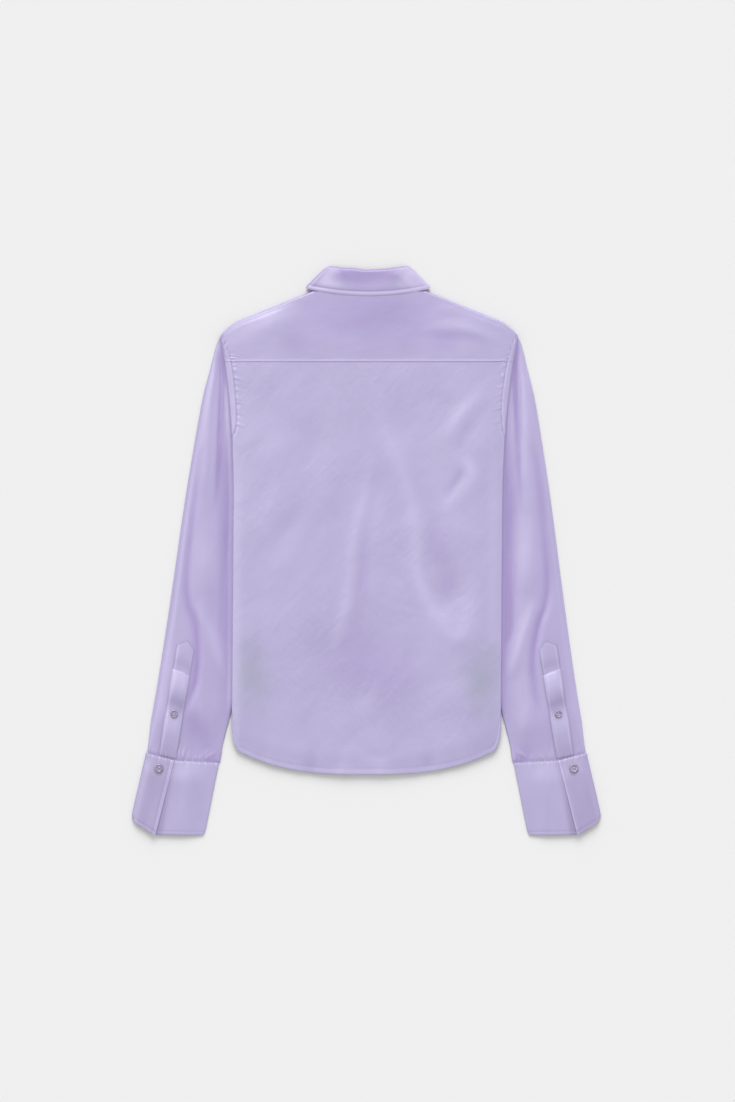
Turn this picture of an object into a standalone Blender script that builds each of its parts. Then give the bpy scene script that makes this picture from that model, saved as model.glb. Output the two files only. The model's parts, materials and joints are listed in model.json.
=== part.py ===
"""Long-sleeved satin shirt, laid flat with its front down and its sleeves beside the body.

Y points from the hem to the collar, X to the wearer's right and Z up from the surface that the
shirt lies on. Every cloth piece is a wall: an open surface, lofted through sections, with Solidify.
Each surface is the outer face of its cloth. From the surface up, the layers at the body's sides are
the front, its turned-in strip, the sleeve's two walls, the back's turned-in strip and the back.
"""

import math

import bmesh
import bpy

# Cloth, and the room that layers and seams keep
WALL = 0.001
GAP = 0.00035
SEAM = 0.0003
PITCH = WALL + GAP
FOLD_RADIUS = WALL + GAP / 2
FOLD_STEPS = 3

# Body: half widths along X, stations along Y
SIDE_HALF = 0.1748
TIP_HALF = 0.1927
TIP_Y = 0.281
NARROW_Y = 0.060
SEAM_TUCK = 0.047
TUCK_TOP_Y = 0.158
TUCK_POWER = 1.2
UNDERARM_Y = 0.065
YOKE_SEAM_Y = 0.248
HEM_Y = -0.290
HEM_RISE = 0.0682
HEM_POWER = 2.85
HEM_CORNER_WIDE = 0.010
HEM_CORNER_TALL = 0.028
HEM_CORNER_SHARE = 0.98
FRONT_INSET = 0.005
LAP_HALF = 0.015
# The whole shirt lies a little aslant: its pieces shift along X by this share of Y, down to a station
LEAN = 0.0075
LEAN_LOWEST_Y = -0.200

# Shoulders and neck
SHOULDER_Y = 0.331
SHOULDER_X = 0.090
SHOULDER_SLOPE = 0.40
SHOULDER_ROUND_X = 0.165
SHOULDER_DROP = 0.009
YOKE_RETURN = 0.032
NECK_HALF = 0.072
NECK_BACK_Y = 0.337
NECK_Y = 0.338
NECK_DEPTH = 0.076
NECK_SIDES = 64
NECK_BLOCK = 0.060
# The neck cutters reach from below the surface to above the shirt, or to the height between its layers
CUT_LOW = -0.002
CUT_BETWEEN = 0.0035
CUT_HIGH = 0.012

# Heights of the lower faces of the layers
BUTTON_ROOM = 0.00255
SLEEVE_LIFT = 2 * PITCH
ARMHOLE_LEVEL = 4 * PITCH
SIDE_LEVEL = 5 * PITCH
HEM_LEVEL = 3 * PITCH
CENTRE_LEVEL = BUTTON_ROOM + 2 * PITCH
HOLLOW_LEVEL = 0.0036
NECK_LEVEL = 0.0050
FALL_LEVEL = CENTRE_LEVEL + PITCH
LAP_LIMIT = 0.016

# Where one height gives way to the next, each from its first distance or station to its second
HOLLOW_TO_NECK = (0.24, 0.30)
ARMHOLE_TO_SIDE = (0.172, 0.146)
SIDE_TO_HEM = (-0.245, -0.285)
CENTRE_TO_HOLLOW = (0.018, 0.075)
HOLLOW_TO_SIDE = (0.100, 0.1265)
LAP_SLOPE = 0.045
LAP_SLOPE_STEP = 0.014
ARMHOLE_SLOPE = (0.050, 0.022)
COLLAR_RING = (0.095, 0.125)
COLLAR_RING_Y = 0.332
RING_SHARES = (1.35, 1.0)
SLEEVE_FALL = (0.024, 0.003)
SEAM_MEET = (0.000, -0.080)

# Sleeves
SLEEVE_LAP = 0.007
HEAD_SHARE = 0.08
PUFF = 0.0020
PUFF_START = (0.004, 0.022)
PUFF_LOW = (-0.085, -0.030)
PUFF_HIGH = (0.275, 0.235)

# Buttons: radius and thickness
CUFF_BUTTON = (0.00575, 0.0023)
PLACKET_BUTTON = (0.0050, 0.0021)
FRONT_BUTTON = (0.00575, 0.0022)
BUTTON_SIDES = 16
HOLE_RADIUS = 0.0008
HOLE_OFFSET = 0.0016
HOLE_SIDES = 6
DISH_SHARE = 0.70
RIM_SHARE = 0.82
FOOT_SHARE = 0.90
DISH_DEPTH = 0.0005
RIM_ROUND = 0.0005
FRONT_BUTTON_TOP_Y = 0.225
FRONT_BUTTON_STEP = 0.085
FRONT_BUTTON_COUNT = 6
STAND_BUTTON_Y = 0.2755

# The sleeve's sections: the outer and the inner end of each, and how far it follows the armhole
SLEEVE_SECTIONS = (
    # outer x, outer y, inner x, inner y, armhole share
    (0.1890, 0.2770, 0.1220, 0.0590, 1.00),
    (0.1980, 0.2660, 0.1250, 0.0450, 0.92),
    (0.2055, 0.2360, 0.1295, 0.0250, 0.78),
    (0.2140, 0.2030, 0.1340, 0.0020, 0.60),
    (0.2200, 0.1710, 0.1385, -0.0230, 0.42),
    (0.2260, 0.1350, 0.1430, -0.0480, 0.26),
    (0.2335, 0.0880, 0.1480, -0.0750, 0.12),
    (0.2405, 0.0400, 0.1540, -0.1040, 0.04),
    (0.2475, -0.0120, 0.1605, -0.1340, 0.00),
    (0.2550, -0.0670, 0.1670, -0.1650, 0.00),
    (0.2625, -0.1200, 0.1735, -0.1950, 0.00),
    (0.2705, -0.1730, 0.1808, -0.2240, 0.00),
    (0.2785, -0.2200, 0.1875, -0.2500, 0.00),
    (0.2862, -0.2623, 0.1930, -0.2753, 0.00),
)

# The cuff seam, which dips where the cuff laps, and the cuff's folds from it to the wrist edge
CUFF_SEAM = (
    # x, y
    (0.2862, -0.2623),
    (0.2495, -0.2720),
    (0.1930, -0.2753),
)
CUFF_LINES = {
    # line: x at the seam, x and y at the wrist
    "lap": (0.2495, 0.2740, -0.3695),
    "outer": (0.2845, 0.3050, -0.3502),
    "inner": (0.1942, 0.2118, -0.3693),
    "under": (0.2590, 0.2830, -0.3690),
}
CUFF_OUTER_RADIUS = (3 * WALL + 2 * GAP) / 2

# The sleeve placket, as five corners
PLACKET = {
    # corner: x, y
    "outer_top": (0.2475, -0.1220),
    "tip": (0.2325, -0.1160),
    "inner_top": (0.2240, -0.1290),
    "outer_low": (0.2700, -0.2640),
    "inner_low": (0.2470, -0.2695),
}
PLACKET_ROWS = 4

# The collar's two bands: half widths and stations of the back part, then of the front part
COLLAR = {
    # band: fold x, fold y, edge x, edge y at the side, rise of the fold, rise of the edge
    "fall": (0.0505, 0.3675, 0.0815, 0.3330, 0.0015, 0.0040),
    "stand": (0.0475, 0.3655, 0.0695, 0.3383, 0.0010, 0.0008),
}
COLLAR_FRONT_DEPTH = 0.077
COLLAR_POINT = (0.056, 0.238)
COLLAR_POINT_BOW = 0.004
FALL_END_ANGLE = math.radians(80)
STAND_END_ANGLE = math.radians(100)
STAND_RISE = (math.radians(40), math.radians(78))

# Button places beside the centre line
CUFF_BUTTON_AT = (0.2695, -0.2820)
PLACKET_BUTTON_AT = (0.2495, -0.2115)

SIDES = {"left": -1, "right": 1}

COLOURS = {
    # material: red, green, blue, roughness
    "satin": (0.50, 0.44, 0.66, 0.42),
    "satin_collar": (0.46, 0.40, 0.62, 0.42),
    "satin_cuff": (0.48, 0.42, 0.63, 0.42),
    "button": (0.52, 0.44, 0.58, 0.25),
}


def smooth(value, start, end):
    """0 at start and 1 at end, with a level tangent at both."""
    t = min(1, max(0, (value - start) / (end - start)))
    return t * t * (3 - 2 * t)


def mix(a, b, t):
    return a + (b - a) * t


def lean(y):
    """How far along X the shirt lies aside at y."""
    return LEAN * max(y, LEAN_LOWEST_Y)


# Lines of the body


def side_half(y):
    """Half width of the body's edge at y: the armhole seam above, the rolled side below."""
    rise = max(0, (y - NARROW_Y) / (TIP_Y - NARROW_Y))
    return SIDE_HALF + (TIP_HALF - SIDE_HALF) * rise**2


def tuck_at(y):
    """How far the side is turned in at y: nothing at the armhole, the full strip below the underarm."""
    t = (TUCK_TOP_Y - y) / (TUCK_TOP_Y - UNDERARM_Y)
    return SEAM_TUCK * min(1, max(0, t)) ** TUCK_POWER


def shoulder_y(x):
    """The shoulder fold, straight from the neck and rounded down at its tip."""
    a = abs(x)
    past = max(0, (a - SHOULDER_ROUND_X) / (TIP_HALF - SHOULDER_ROUND_X))
    return SHOULDER_Y - SHOULDER_SLOPE * (a - SHOULDER_X) - SHOULDER_DROP * past**2


def front_seam_y(x):
    """The seam between the yoke and a front, straight along the shoulder."""
    return SHOULDER_Y - SHOULDER_SLOPE * (abs(x) - SHOULDER_X) - YOKE_RETURN


def hem_y(cut_x):
    """The shirt-tail hem, by distance from the centre along the cloth, with a rounded corner at the side."""
    corner = min(1, max(0, (cut_x - SIDE_HALF) / HEM_CORNER_WIDE + 1))
    rise = HEM_CORNER_TALL * (1 - math.sqrt(1 - HEM_CORNER_SHARE * corner**2))
    return HEM_Y + HEM_RISE * (cut_x / (SIDE_HALF + SEAM_TUCK)) ** HEM_POWER + rise


# Heights of the layers, each the lower face of its wall


def back_level(x, y):
    """Back and yoke: over the front's lap at the centre, over the sleeves at the sides."""
    a = abs(x)
    hollow = mix(HOLLOW_LEVEL, NECK_LEVEL, smooth(y, *HOLLOW_TO_NECK))
    side = mix(ARMHOLE_LEVEL, SIDE_LEVEL, smooth(y, *ARMHOLE_TO_SIDE))
    side = mix(side, HEM_LEVEL, smooth(y, *SIDE_TO_HEM))
    middle = mix(CENTRE_LEVEL, hollow, smooth(a, *CENTRE_TO_HOLLOW))
    return mix(middle, side, smooth(a, *HOLLOW_TO_SIDE))


def front_level(x, y, lap=0):
    """Fronts and the yoke's front strip: lap is 1 for the outer front, 2 for the one it covers."""
    a = abs(x)
    ring = math.hypot(x / COLLAR_RING[0], (y - COLLAR_RING_Y) / COLLAR_RING[1])
    collar = PITCH * smooth(ring, *RING_SHARES)
    armhole = PITCH * smooth(side_half(y) - a, *ARMHOLE_SLOPE) * smooth(y, *ARMHOLE_TO_SIDE[::-1])
    buttons = 0
    if lap:
        height = BUTTON_ROOM + (lap - 1) * PITCH
        buttons = height * smooth(a, LAP_LIMIT + LAP_SLOPE + LAP_SLOPE_STEP * lap, LAP_LIMIT)
    return max(collar, armhole, buttons)


def sleeve_lift(x, y):
    """Lower face of the sleeve: between the front and the back inside the body, on the surface outside."""
    outside = abs(x) - side_half(y)
    return SLEEVE_LIFT * smooth(outside, *SLEEVE_FALL)


def sleeve_puff(x, y):
    """Extra height of the sleeve's upper wall, beside the body and above the placket."""
    outside = abs(x) - side_half(y)
    return PUFF * smooth(outside, *PUFF_START) * smooth(y, *PUFF_LOW) * smooth(y, *PUFF_HIGH)


# Meshes and objects


def material(name, key):
    """A Principled material of the named colour."""
    red, green, blue, roughness = COLOURS[key]
    made = bpy.data.materials.get(name) or bpy.data.materials.new(name)
    made.use_nodes = True
    shader = made.node_tree.nodes["Principled BSDF"]
    shader.inputs["Base Color"].default_value = (red, green, blue, 1)
    shader.inputs["Roughness"].default_value = roughness
    shader.inputs["Metallic"].default_value = 0
    return made


def add_object(name, mesh, colour, collection):
    """An object for the mesh, with its own material, in the collection."""
    made = bpy.data.objects.new(name, mesh)
    mesh.materials.append(material(name + "_cloth", colour))
    collection.objects.link(made)
    return made


def loft(name, rows, closed=False):
    """A surface through rows of points, faces up where a row runs to +X and the rows run to -Y."""
    bm = bmesh.new()
    grid = [[bm.verts.new((x + lean(y), y, z)) for x, y, z in row] for row in rows]
    columns = len(rows[0])
    last = columns if closed else columns - 1
    for upper, lower in zip(grid, grid[1:]):
        for i in range(last):
            j = (i + 1) % columns
            bm.faces.new((upper[i], lower[i], lower[j], upper[j]))
    mesh = bpy.data.meshes.new(name)
    bm.to_mesh(mesh)
    bm.free()
    mesh.shade_smooth()
    return mesh


def add_cloth(name, rows, colour, collection, closed=False):
    """A cloth wall whose outer face goes through the rows."""
    made = add_object(name, loft(name, rows, closed), colour, collection)
    wall = made.modifiers.new("wall", "SOLIDIFY")
    wall.thickness = WALL
    wall.offset = -1
    wall.use_even_offset = True
    return made


def fold_points(edge, high, low, steps=FOLD_STEPS):
    """(across, z) round a half-circle fold that reaches edge, from the height high to low."""
    radius = abs(high - low) / 2
    centre = edge - radius
    middle = (high + low) / 2
    sense = 1 if high > low else -1
    turns = [math.pi / 2 - math.pi * i / steps for i in range(steps + 1)]
    return [(centre + radius * math.cos(a), middle + sense * radius * math.sin(a)) for a in turns]


# Body panels

FLAT_SHARES = (0.0, 0.10, 0.25, 0.42, 0.53, 0.62, 0.71, 0.86)
STRIP_SHARES = (0.4, 0.85, 1.0)
OPEN_EDGE = 0.012
CORNER_COLUMN = 0.007


def side_path(half, tuck, face, turned_in, meet):
    """(across, z, distance along the cloth) from the centre to the end of the turned-in strip.

    face(x) is the height of the outer face, turned_in is 1 where the strip lies above the panel
    and -1 where it lies below, and meet is how far the strip's end moves towards the other panel's.
    """
    edge_face = face(half)
    if tuck < 2 * FOLD_RADIUS:
        start = half - OPEN_EDGE
        count = FOLD_STEPS + 2 + len(STRIP_SHARES)
        flat = [start * share for share in FLAT_SHARES]
        flat += [mix(start, half, i / (count - 1)) for i in range(count)]
        return [(a, face(a), a) for a in flat]
    turn = half - FOLD_RADIUS
    flat = [turn * share for share in FLAT_SHARES] + [half - CORNER_COLUMN]
    path = [(a, face(a), a) for a in flat]
    other = edge_face + turned_in * 2 * FOLD_RADIUS
    for i, (a, z) in enumerate(fold_points(half, edge_face, other)):
        path.append((a, z, turn + math.pi * FOLD_RADIUS * i / FOLD_STEPS))
    strip = tuck - FOLD_RADIUS
    along = turn + math.pi * FOLD_RADIUS
    for share in STRIP_SHARES:
        rise = meet * smooth(share, *STRIP_SHARES[-2:])
        path.append((turn - strip * share, other + rise, along + strip * share))
    return path


def mirrored(points):
    """Points from -X to +X, from those that start at the centre."""
    return [(-x, y, z) for x, y, z in reversed(points[1:])] + points


BACK_STATIONS = (
    0.2478, 0.224, 0.198, 0.172, 0.158, 0.142, 0.120, 0.098, 0.080, 0.065,
    0.030, -0.030, -0.100, -0.160, -0.205, -0.250, -0.290,
)
HEM_FROM = -0.160


def hem_blend(y, cut_x):
    """A station's y at a distance along the cloth: the lowest stations close up towards the hem's curve."""
    share = (HEM_FROM - y) / (HEM_FROM - HEM_Y)
    return y if share < 0 else mix(HEM_FROM, hem_y(cut_x), share)


def seam_meet(y):
    """How far each turned-in strip bends to the other at the side seam."""
    room = back_level(SIDE_HALF, y) - PITCH - WALL - PITCH - GAP
    return (room - 2 * GAP) / 2 * smooth(y, *SEAM_MEET)


def back_rows():
    """Rows of the back, from the yoke seam to the hem."""
    rows = []
    for y in BACK_STATIONS:
        path = side_path(side_half(y), tuck_at(y), lambda a: back_level(a, y) + WALL, -1, -seam_meet(y))
        rows.append(mirrored([(x, hem_blend(y, cut_x), z) for x, z, cut_x in path]))
    return rows


FRONT_STATIONS = (
    0.225, 0.198, 0.172, 0.158, 0.142, 0.120, 0.098, 0.080, 0.065,
    0.030, -0.030, -0.100, -0.160, -0.205, -0.250, -0.290,
)
FRONT_TOP_SHARES = (0.0, 0.25, 0.5, 0.75)


def front_path(y, lap):
    """The path of side_path for one front, from its edge past the centre."""
    tuck = tuck_at(y) * (1 - FRONT_INSET / SEAM_TUCK)
    half = side_half(y) - FRONT_INSET
    path = side_path(half, tuck, lambda a: front_level(a, y, lap), 1, seam_meet(y))
    return [(-LAP_HALF, front_level(LAP_HALF, y, lap), LAP_HALF)] + path


def front_rows(lap):
    """Rows of the front on +X, from the yoke's front seam to the hem."""
    rows = []
    upper = FRONT_STATIONS[0]
    for share in FRONT_TOP_SHARES:
        row = []
        for x, _, _ in front_path(upper, lap):
            y = mix(front_seam_y(x) - SEAM, upper, share)
            row.append((x, y, front_level(max(x, 0), y, lap)))
        rows.append(row)
    for y in FRONT_STATIONS:
        rows.append([(x, hem_blend(y, cut_x + FRONT_INSET), z) for x, z, cut_x in front_path(y, lap)])
    return rows


def add_fronts(collection, cutter):
    for name, side, lap in (("front_left", -1, 2), ("front_right", 1, 1)):
        rows = front_rows(lap)
        rows = [[(side * x, y, z) for x, y, z in row] for row in rows]
        # The outer face looks down, so the row order is turned round on the side that isn't mirrored.
        rows = [row[::-1] for row in rows] if side > 0 else rows
        made = add_cloth(name, rows, "satin", collection)
        cut(made, cutter)


YOKE_SHARES = (0.0, 0.16, 0.30, 0.3775, 0.45, 0.54, 0.64, 0.74, 0.84, 0.92, 0.97, 1.0)
YOKE_FLAT = (0.0, 0.3, 0.6, 1.0)
YOKE_UNDER = (0.5, 1.0)
YOKE_STEPS = 4


def yoke_column(share):
    """Points from the back seam, over the shoulder fold, to the front seam."""
    fold_x = share * side_half(TIP_Y)
    seam_x = share * side_half(YOKE_SEAM_Y)
    top_y = shoulder_y(fold_x)
    high = back_level(fold_x, top_y) + WALL
    low = front_level(fold_x, top_y)
    arc = fold_points(top_y, high, low, YOKE_STEPS)
    flat_end = arc[0][0]
    seam_y = YOKE_SEAM_Y + SEAM / 2
    column = []
    for t in YOKE_FLAT[:-1]:
        x, y = mix(seam_x, fold_x, t), mix(seam_y, flat_end, t)
        column.append((x, y, back_level(x, y) + WALL))
    column += [(fold_x, y, z) for y, z in arc]
    for t in YOKE_UNDER:
        x = mix(fold_x, share * side_half(front_seam_y(fold_x)), t)
        y = mix(flat_end, front_seam_y(x), t)
        column.append((x, y, front_level(x, y)))
    return column


def add_yoke(collection, back_cutter, front_cutter):
    right = [yoke_column(share) for share in YOKE_SHARES]
    left = [[(-x, y, z) for x, y, z in column] for column in reversed(right[1:])]
    made = add_cloth("yoke", left + right, "satin", collection)
    cut(made, back_cutter)
    cut(made, front_cutter)


# Collar


def band_ribs(band, steps=5):
    """(fold x, fold y, edge x, edge y) from the centre back to the side fold."""
    fold_x, fold_y, edge_x, edge_y, fold_rise, edge_rise = COLLAR[band]
    ribs = []
    for i in range(steps + 1):
        w = i / steps
        lift = 1 - w * w
        ribs.append((w * fold_x, fold_y - fold_rise * lift, w * edge_x, edge_y - edge_rise * lift))
    return ribs


def side_fold_ribs(band, high, low, steps=4):
    """(fold x, fold y, edge x, edge y, z) round the side fold, without its two ends."""
    fold_x, fold_y, edge_x, edge_y = band_ribs(band)[-1]
    length = math.hypot(edge_x - fold_x, edge_y - fold_y)
    out_x, out_y = (fold_y - edge_y) / length, (edge_x - fold_x) / length
    radius = (high - low) / 2
    ribs = []
    for i in range(1, steps):
        angle = math.pi / 2 - math.pi * i / steps
        reach = radius * math.cos(angle)
        z = (high + low) / 2 + radius * math.sin(angle)
        shift_x, shift_y = out_x * reach, out_y * reach
        ribs.append((fold_x + shift_x, fold_y + shift_y, edge_x + shift_x, edge_y + shift_y, z))
    return ribs


def fold_line_at(band, angle):
    fold_x, fold_y = COLLAR[band][0], COLLAR[band][1]
    return fold_x * math.cos(angle), fold_y - COLLAR_FRONT_DEPTH * math.sin(angle)


def fall_front_ribs(low, steps=5):
    """The fall's front part, from the side fold to the line from the collar's top to its point."""
    edge_x, edge_y = COLLAR["fall"][2], COLLAR["fall"][3]
    ribs = []
    for i in range(steps + 1):
        t = i / steps
        x, y = fold_line_at("fall", FALL_END_ANGLE * t)
        bow = COLLAR_POINT_BOW * math.sin(math.pi * t)
        point_x = mix(edge_x, COLLAR_POINT[0], t) + bow
        ribs.append((x, y, point_x, mix(edge_y, COLLAR_POINT[1], t), low))
    return ribs


def stand_front_ribs(lap, steps=8):
    """The stand's front part, from the side fold past the centre, rising to its place in the lap."""
    edge_x, edge_y = COLLAR["stand"][2], COLLAR["stand"][3]
    ribs = []
    for i in range(steps + 1):
        t = i / steps
        angle = STAND_END_ANGLE * t
        x, y = fold_line_at("stand", angle)
        half = mix(edge_x, NECK_HALF - SEAM, min(1, 4 * t))
        seam_x, seam_y = half * math.cos(angle), NECK_Y - (NECK_DEPTH - SEAM) * math.sin(angle)
        if i == 0:
            seam_y = edge_y
        top = BUTTON_ROOM + (lap - 1) * PITCH
        z = mix(PITCH, top, smooth(angle, *STAND_RISE))
        ribs.append((x, y, seam_x, seam_y, z))
    return ribs


def band_rows(half_ribs, cross_steps=2):
    """Rows of points across each rib, from the fold line to the edge."""
    rows = []
    for step in range(cross_steps + 1):
        t = step / cross_steps
        rows.append([(mix(a, c, t), mix(b, d, t), z) for a, b, c, d, z in half_ribs])
    return rows


def add_collar(collection):
    fall_high = FALL_LEVEL + WALL
    stand_high = CENTRE_LEVEL + WALL
    halves = {}
    for side in SIDES.values():
        back = [rib + (fall_high,) for rib in band_ribs("fall")]
        ribs = back + side_fold_ribs("fall", fall_high, 0) + fall_front_ribs(0)
        halves["fall", side] = [(side * a, b, side * c, d, z) for a, b, c, d, z in ribs]
        lap = 1 if side > 0 else 2
        back = [rib + (stand_high,) for rib in band_ribs("stand")]
        ribs = back + side_fold_ribs("stand", stand_high, PITCH) + stand_front_ribs(lap)
        halves["stand", side] = [(side * a, b, side * c, d, z) for a, b, c, d, z in ribs]
    for band in COLLAR:
        ribs = halves[band, -1][:0:-1] + halves[band, 1]
        add_cloth("collar_" + band, band_rows(ribs), "satin_collar", collection)


# Sleeves, cuffs and plackets

SLEEVE_SHARES = (0.0, 0.09, 0.18, 0.28, 0.38, 0.48, 0.58, 0.68, 0.79, 0.90, 1.0)


def armhole_point(t):
    """The sleeve's head line, just inside the armhole, from the shoulder tip to the underarm."""
    x0, y0, x1, y1 = SLEEVE_SECTIONS[0][:4]
    y = mix(y0, y1, t)
    x = side_half(y) - tuck_at(y) - SLEEVE_LAP
    return mix(x, x0, max(0, 1 - t / HEAD_SHARE)), y


def cuff_seam_y(x):
    """The seam between the sleeve and the cuff."""
    outer, lap, inner = CUFF_SEAM
    first, second = (outer, lap) if x > lap[0] else (lap, inner)
    return mix(first[1], second[1], (first[0] - x) / (first[0] - second[0]))


def sleeve_section(section, at_cuff):
    """Plan points across the sleeve, from its outer fold to its inner fold."""
    x0, y0, x1, y1, share = section
    first = SLEEVE_SECTIONS[0]
    points = []
    for t in SLEEVE_SHARES:
        x, y = mix(x0, x1, t), mix(y0, y1, t)
        head_x, head_y = armhole_point(t)
        x += share * (head_x - mix(first[0], first[2], t))
        y += share * (head_y - mix(first[1], first[3], t))
        points.append((x, cuff_seam_y(x) if at_cuff else y))
    return points


def sleeve_ring(plan):
    """Outer face of the flattened tube: upper wall, inner fold, lower wall, outer fold."""
    top = [(x, y, sleeve_lift(x, y) + PITCH + sleeve_puff(x, y) + WALL) for x, y in plan]
    base = [(x, y, sleeve_lift(x, y)) for x, y in plan]
    span = math.dist(plan[0], plan[-1])
    out_x = (plan[0][0] - plan[-1][0]) / span
    out_y = (plan[0][1] - plan[-1][1]) / span

    def turn(upper, lower, sense):
        arc = fold_points(FOLD_RADIUS, upper[2], lower[2])[1:-1]
        return [(upper[0] + sense * out_x * a, upper[1] + sense * out_y * a, z) for a, z in arc]

    ring = top + turn(top[-1], base[-1], -1) + base[::-1]
    outer = turn(top[0], base[0], 1)
    return ring + outer[::-1]


def add_sleeves(collection):
    for name, side in SIDES.items():
        rows = []
        for section in SLEEVE_SECTIONS:
            plan = sleeve_section(section, section is SLEEVE_SECTIONS[-1])
            rows.append([(side * x, y, z) for x, y, z in sleeve_ring(plan)])
        rows = [row[::-1] for row in rows] if side > 0 else rows
        add_cloth("sleeve_" + name, rows, "satin", collection, closed=True)


def line_points(line, z, shift=0, steps=3):
    """Points down one of the cuff's lines, moved sideways, a seam gap below the sleeve."""
    x0, x1, y1 = line
    x0, x1 = x0 + shift, x1 + shift
    y0 = cuff_seam_y(x0) - SEAM
    return [(mix(x0, x1, i / steps), mix(y0, y1, i / steps), z) for i in range(steps + 1)]


def between(first, second, x_at_seam=None, share=0.5):
    """A line of the cuff part of the way from one to another, by its x at the seam or by share."""
    if x_at_seam is not None:
        share = (first[0] - x_at_seam) / (first[0] - second[0])
    return [mix(a, b, share) for a, b in zip(first, second)]


def cuff_columns():
    """Columns of the cuff's outer face, from the lap's edge round to the covered end."""
    lap, outer = CUFF_LINES["lap"], CUFF_LINES["outer"]
    inner, under = CUFF_LINES["inner"], CUFF_LINES["under"]
    high = 2 * PITCH + WALL
    middle = PITCH + WALL
    columns = [line_points(lap, high)]
    columns.append(line_points(between(lap, outer), high))
    for reach, z in fold_points(CUFF_OUTER_RADIUS, high, 0, 4):
        columns.append(line_points(outer, z, reach))
    columns.append(line_points(between(outer, inner, lap[0]), 0))
    for reach, z in fold_points(FOLD_RADIUS, 0, middle):
        columns.append(line_points(inner, z, -reach))
    columns.append(line_points(between(inner, under, lap[0]), middle))
    columns.append(line_points(under, middle))
    return columns


def add_cuffs(collection):
    for name, side in SIDES.items():
        columns = [[(side * x, y, z) for x, y, z in column] for column in cuff_columns()]
        columns = columns[::-1] if side < 0 else columns
        add_cloth("cuff_" + name, list(zip(*columns)), "satin_cuff", collection)


def add_plackets(collection):
    """House-topped strips on the sleeves' upper walls."""
    base = 2 * PITCH
    for name, side in SIDES.items():
        rows = []
        for i in range(PLACKET_ROWS + 1):
            t = i / PLACKET_ROWS
            outer = [mix(a, b, t) for a, b in zip(PLACKET["outer_top"], PLACKET["outer_low"])]
            inner = [mix(a, b, t) for a, b in zip(PLACKET["inner_top"], PLACKET["inner_low"])]
            centre = [(a + b) / 2 for a, b in zip(outer, inner)]
            centre = PLACKET["tip"] if i == 0 else centre
            rows.append([(side * x, y, base + WALL) for x, y in (outer, centre, inner)])
        rows = [row[::-1] for row in rows] if side > 0 else rows
        add_cloth("sleeve_placket_" + name, rows, "satin_cuff", collection)


# Buttons and cutters


def cut(target, cutter):
    """Takes the cutter's shape out of the target."""
    boolean = target.modifiers.new("cut_" + cutter.name, "BOOLEAN")
    boolean.object = cutter
    boolean.operation = "DIFFERENCE"
    boolean.solver = "EXACT"


def add_cutter(name, bm, collection):
    """An object that only cuts, from the finished shape."""
    mesh = bpy.data.meshes.new(name)
    bm.to_mesh(mesh)
    bm.free()
    made = bpy.data.objects.new(name, mesh)
    collection.objects.link(made)
    made.hide_render = True
    made.display_type = "WIRE"
    return made


def place_cutter(bm, size, centre):
    """Gives a unit shape its size and place, aslant as the shirt lies."""
    bmesh.ops.scale(bm, vec=size, verts=bm.verts)
    bmesh.ops.translate(bm, vec=centre, verts=bm.verts)
    for vert in bm.verts:
        vert.co.x += lean(vert.co.y)


def neck_cutter(name, low, high, collection):
    """An upright oval through the neck opening, between two heights."""
    bm = bmesh.new()
    bmesh.ops.create_cone(bm, cap_ends=True, segments=NECK_SIDES, radius1=1, radius2=1, depth=1)
    place_cutter(bm, (NECK_HALF, NECK_DEPTH, high - low), (0, NECK_Y, (high + low) / 2))
    return add_cutter(name, bm, collection)


def back_neck_cutter(low, high, collection):
    """A block past the back neck seam, as wide as the neck."""
    bm = bmesh.new()
    bmesh.ops.create_cube(bm, size=1)
    centre = (0, NECK_BACK_Y + NECK_BLOCK / 2, (high + low) / 2)
    place_cutter(bm, (2 * NECK_HALF, NECK_BLOCK, high - low), centre)
    return add_cutter("back_neck_cutter", bm, collection)


def button_mesh(name, radius, thickness):
    """A dished disc with four holes through it, its face at +Z."""
    bm = bmesh.new()
    half = thickness / 2
    profile = (
        (0, half - DISH_DEPTH),
        (radius * DISH_SHARE, half - DISH_DEPTH),
        (radius * RIM_SHARE, half),
        (radius, half - RIM_ROUND),
        (radius, RIM_ROUND - half),
        (radius * FOOT_SHARE, -half),
        (0, -half),
    )
    verts = [bm.verts.new((x, 0, z)) for x, z in profile]
    edges = [bm.edges.new(pair) for pair in zip(verts, verts[1:])]
    bmesh.ops.spin(
        bm, geom=verts + edges, cent=(0, 0, 0), axis=(0, 0, 1), angle=2 * math.pi,
        steps=BUTTON_SIDES, use_merge=True, use_duplicate=False,
    )
    bmesh.ops.remove_doubles(bm, verts=bm.verts, dist=1e-6)
    bmesh.ops.recalc_face_normals(bm, faces=bm.faces)
    mesh = bpy.data.meshes.new(name)
    bm.to_mesh(mesh)
    bm.free()
    return mesh


def holes_cutter(name, thickness, collection):
    """Four round pins, as one mesh, where a button's holes are."""
    bm = bmesh.new()
    for i in range(4):
        angle = math.pi / 4 + math.pi / 2 * i
        made = bmesh.ops.create_cone(
            bm, cap_ends=True, segments=HOLE_SIDES,
            radius1=HOLE_RADIUS, radius2=HOLE_RADIUS, depth=3 * thickness,
        )
        place = (HOLE_OFFSET * math.cos(angle), HOLE_OFFSET * math.sin(angle), 0)
        bmesh.ops.translate(bm, vec=place, verts=made["verts"])
    return add_cutter(name, bm, collection)


def add_button(name, size, place, collection, cutters, face_down=False):
    """A button at its place, the centre of its lower side, with its own hole pins."""
    radius, thickness = size
    made = add_object(name, button_mesh(name, radius, thickness), "button", collection)
    made.location = (place[0] + lean(place[1]), place[1], place[2] + thickness / 2)
    made.rotation_euler = (math.pi if face_down else 0, 0, 0)
    pins = holes_cutter(name + "_holes", thickness, cutters)
    pins.location = made.location
    cut(made, pins)


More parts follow.
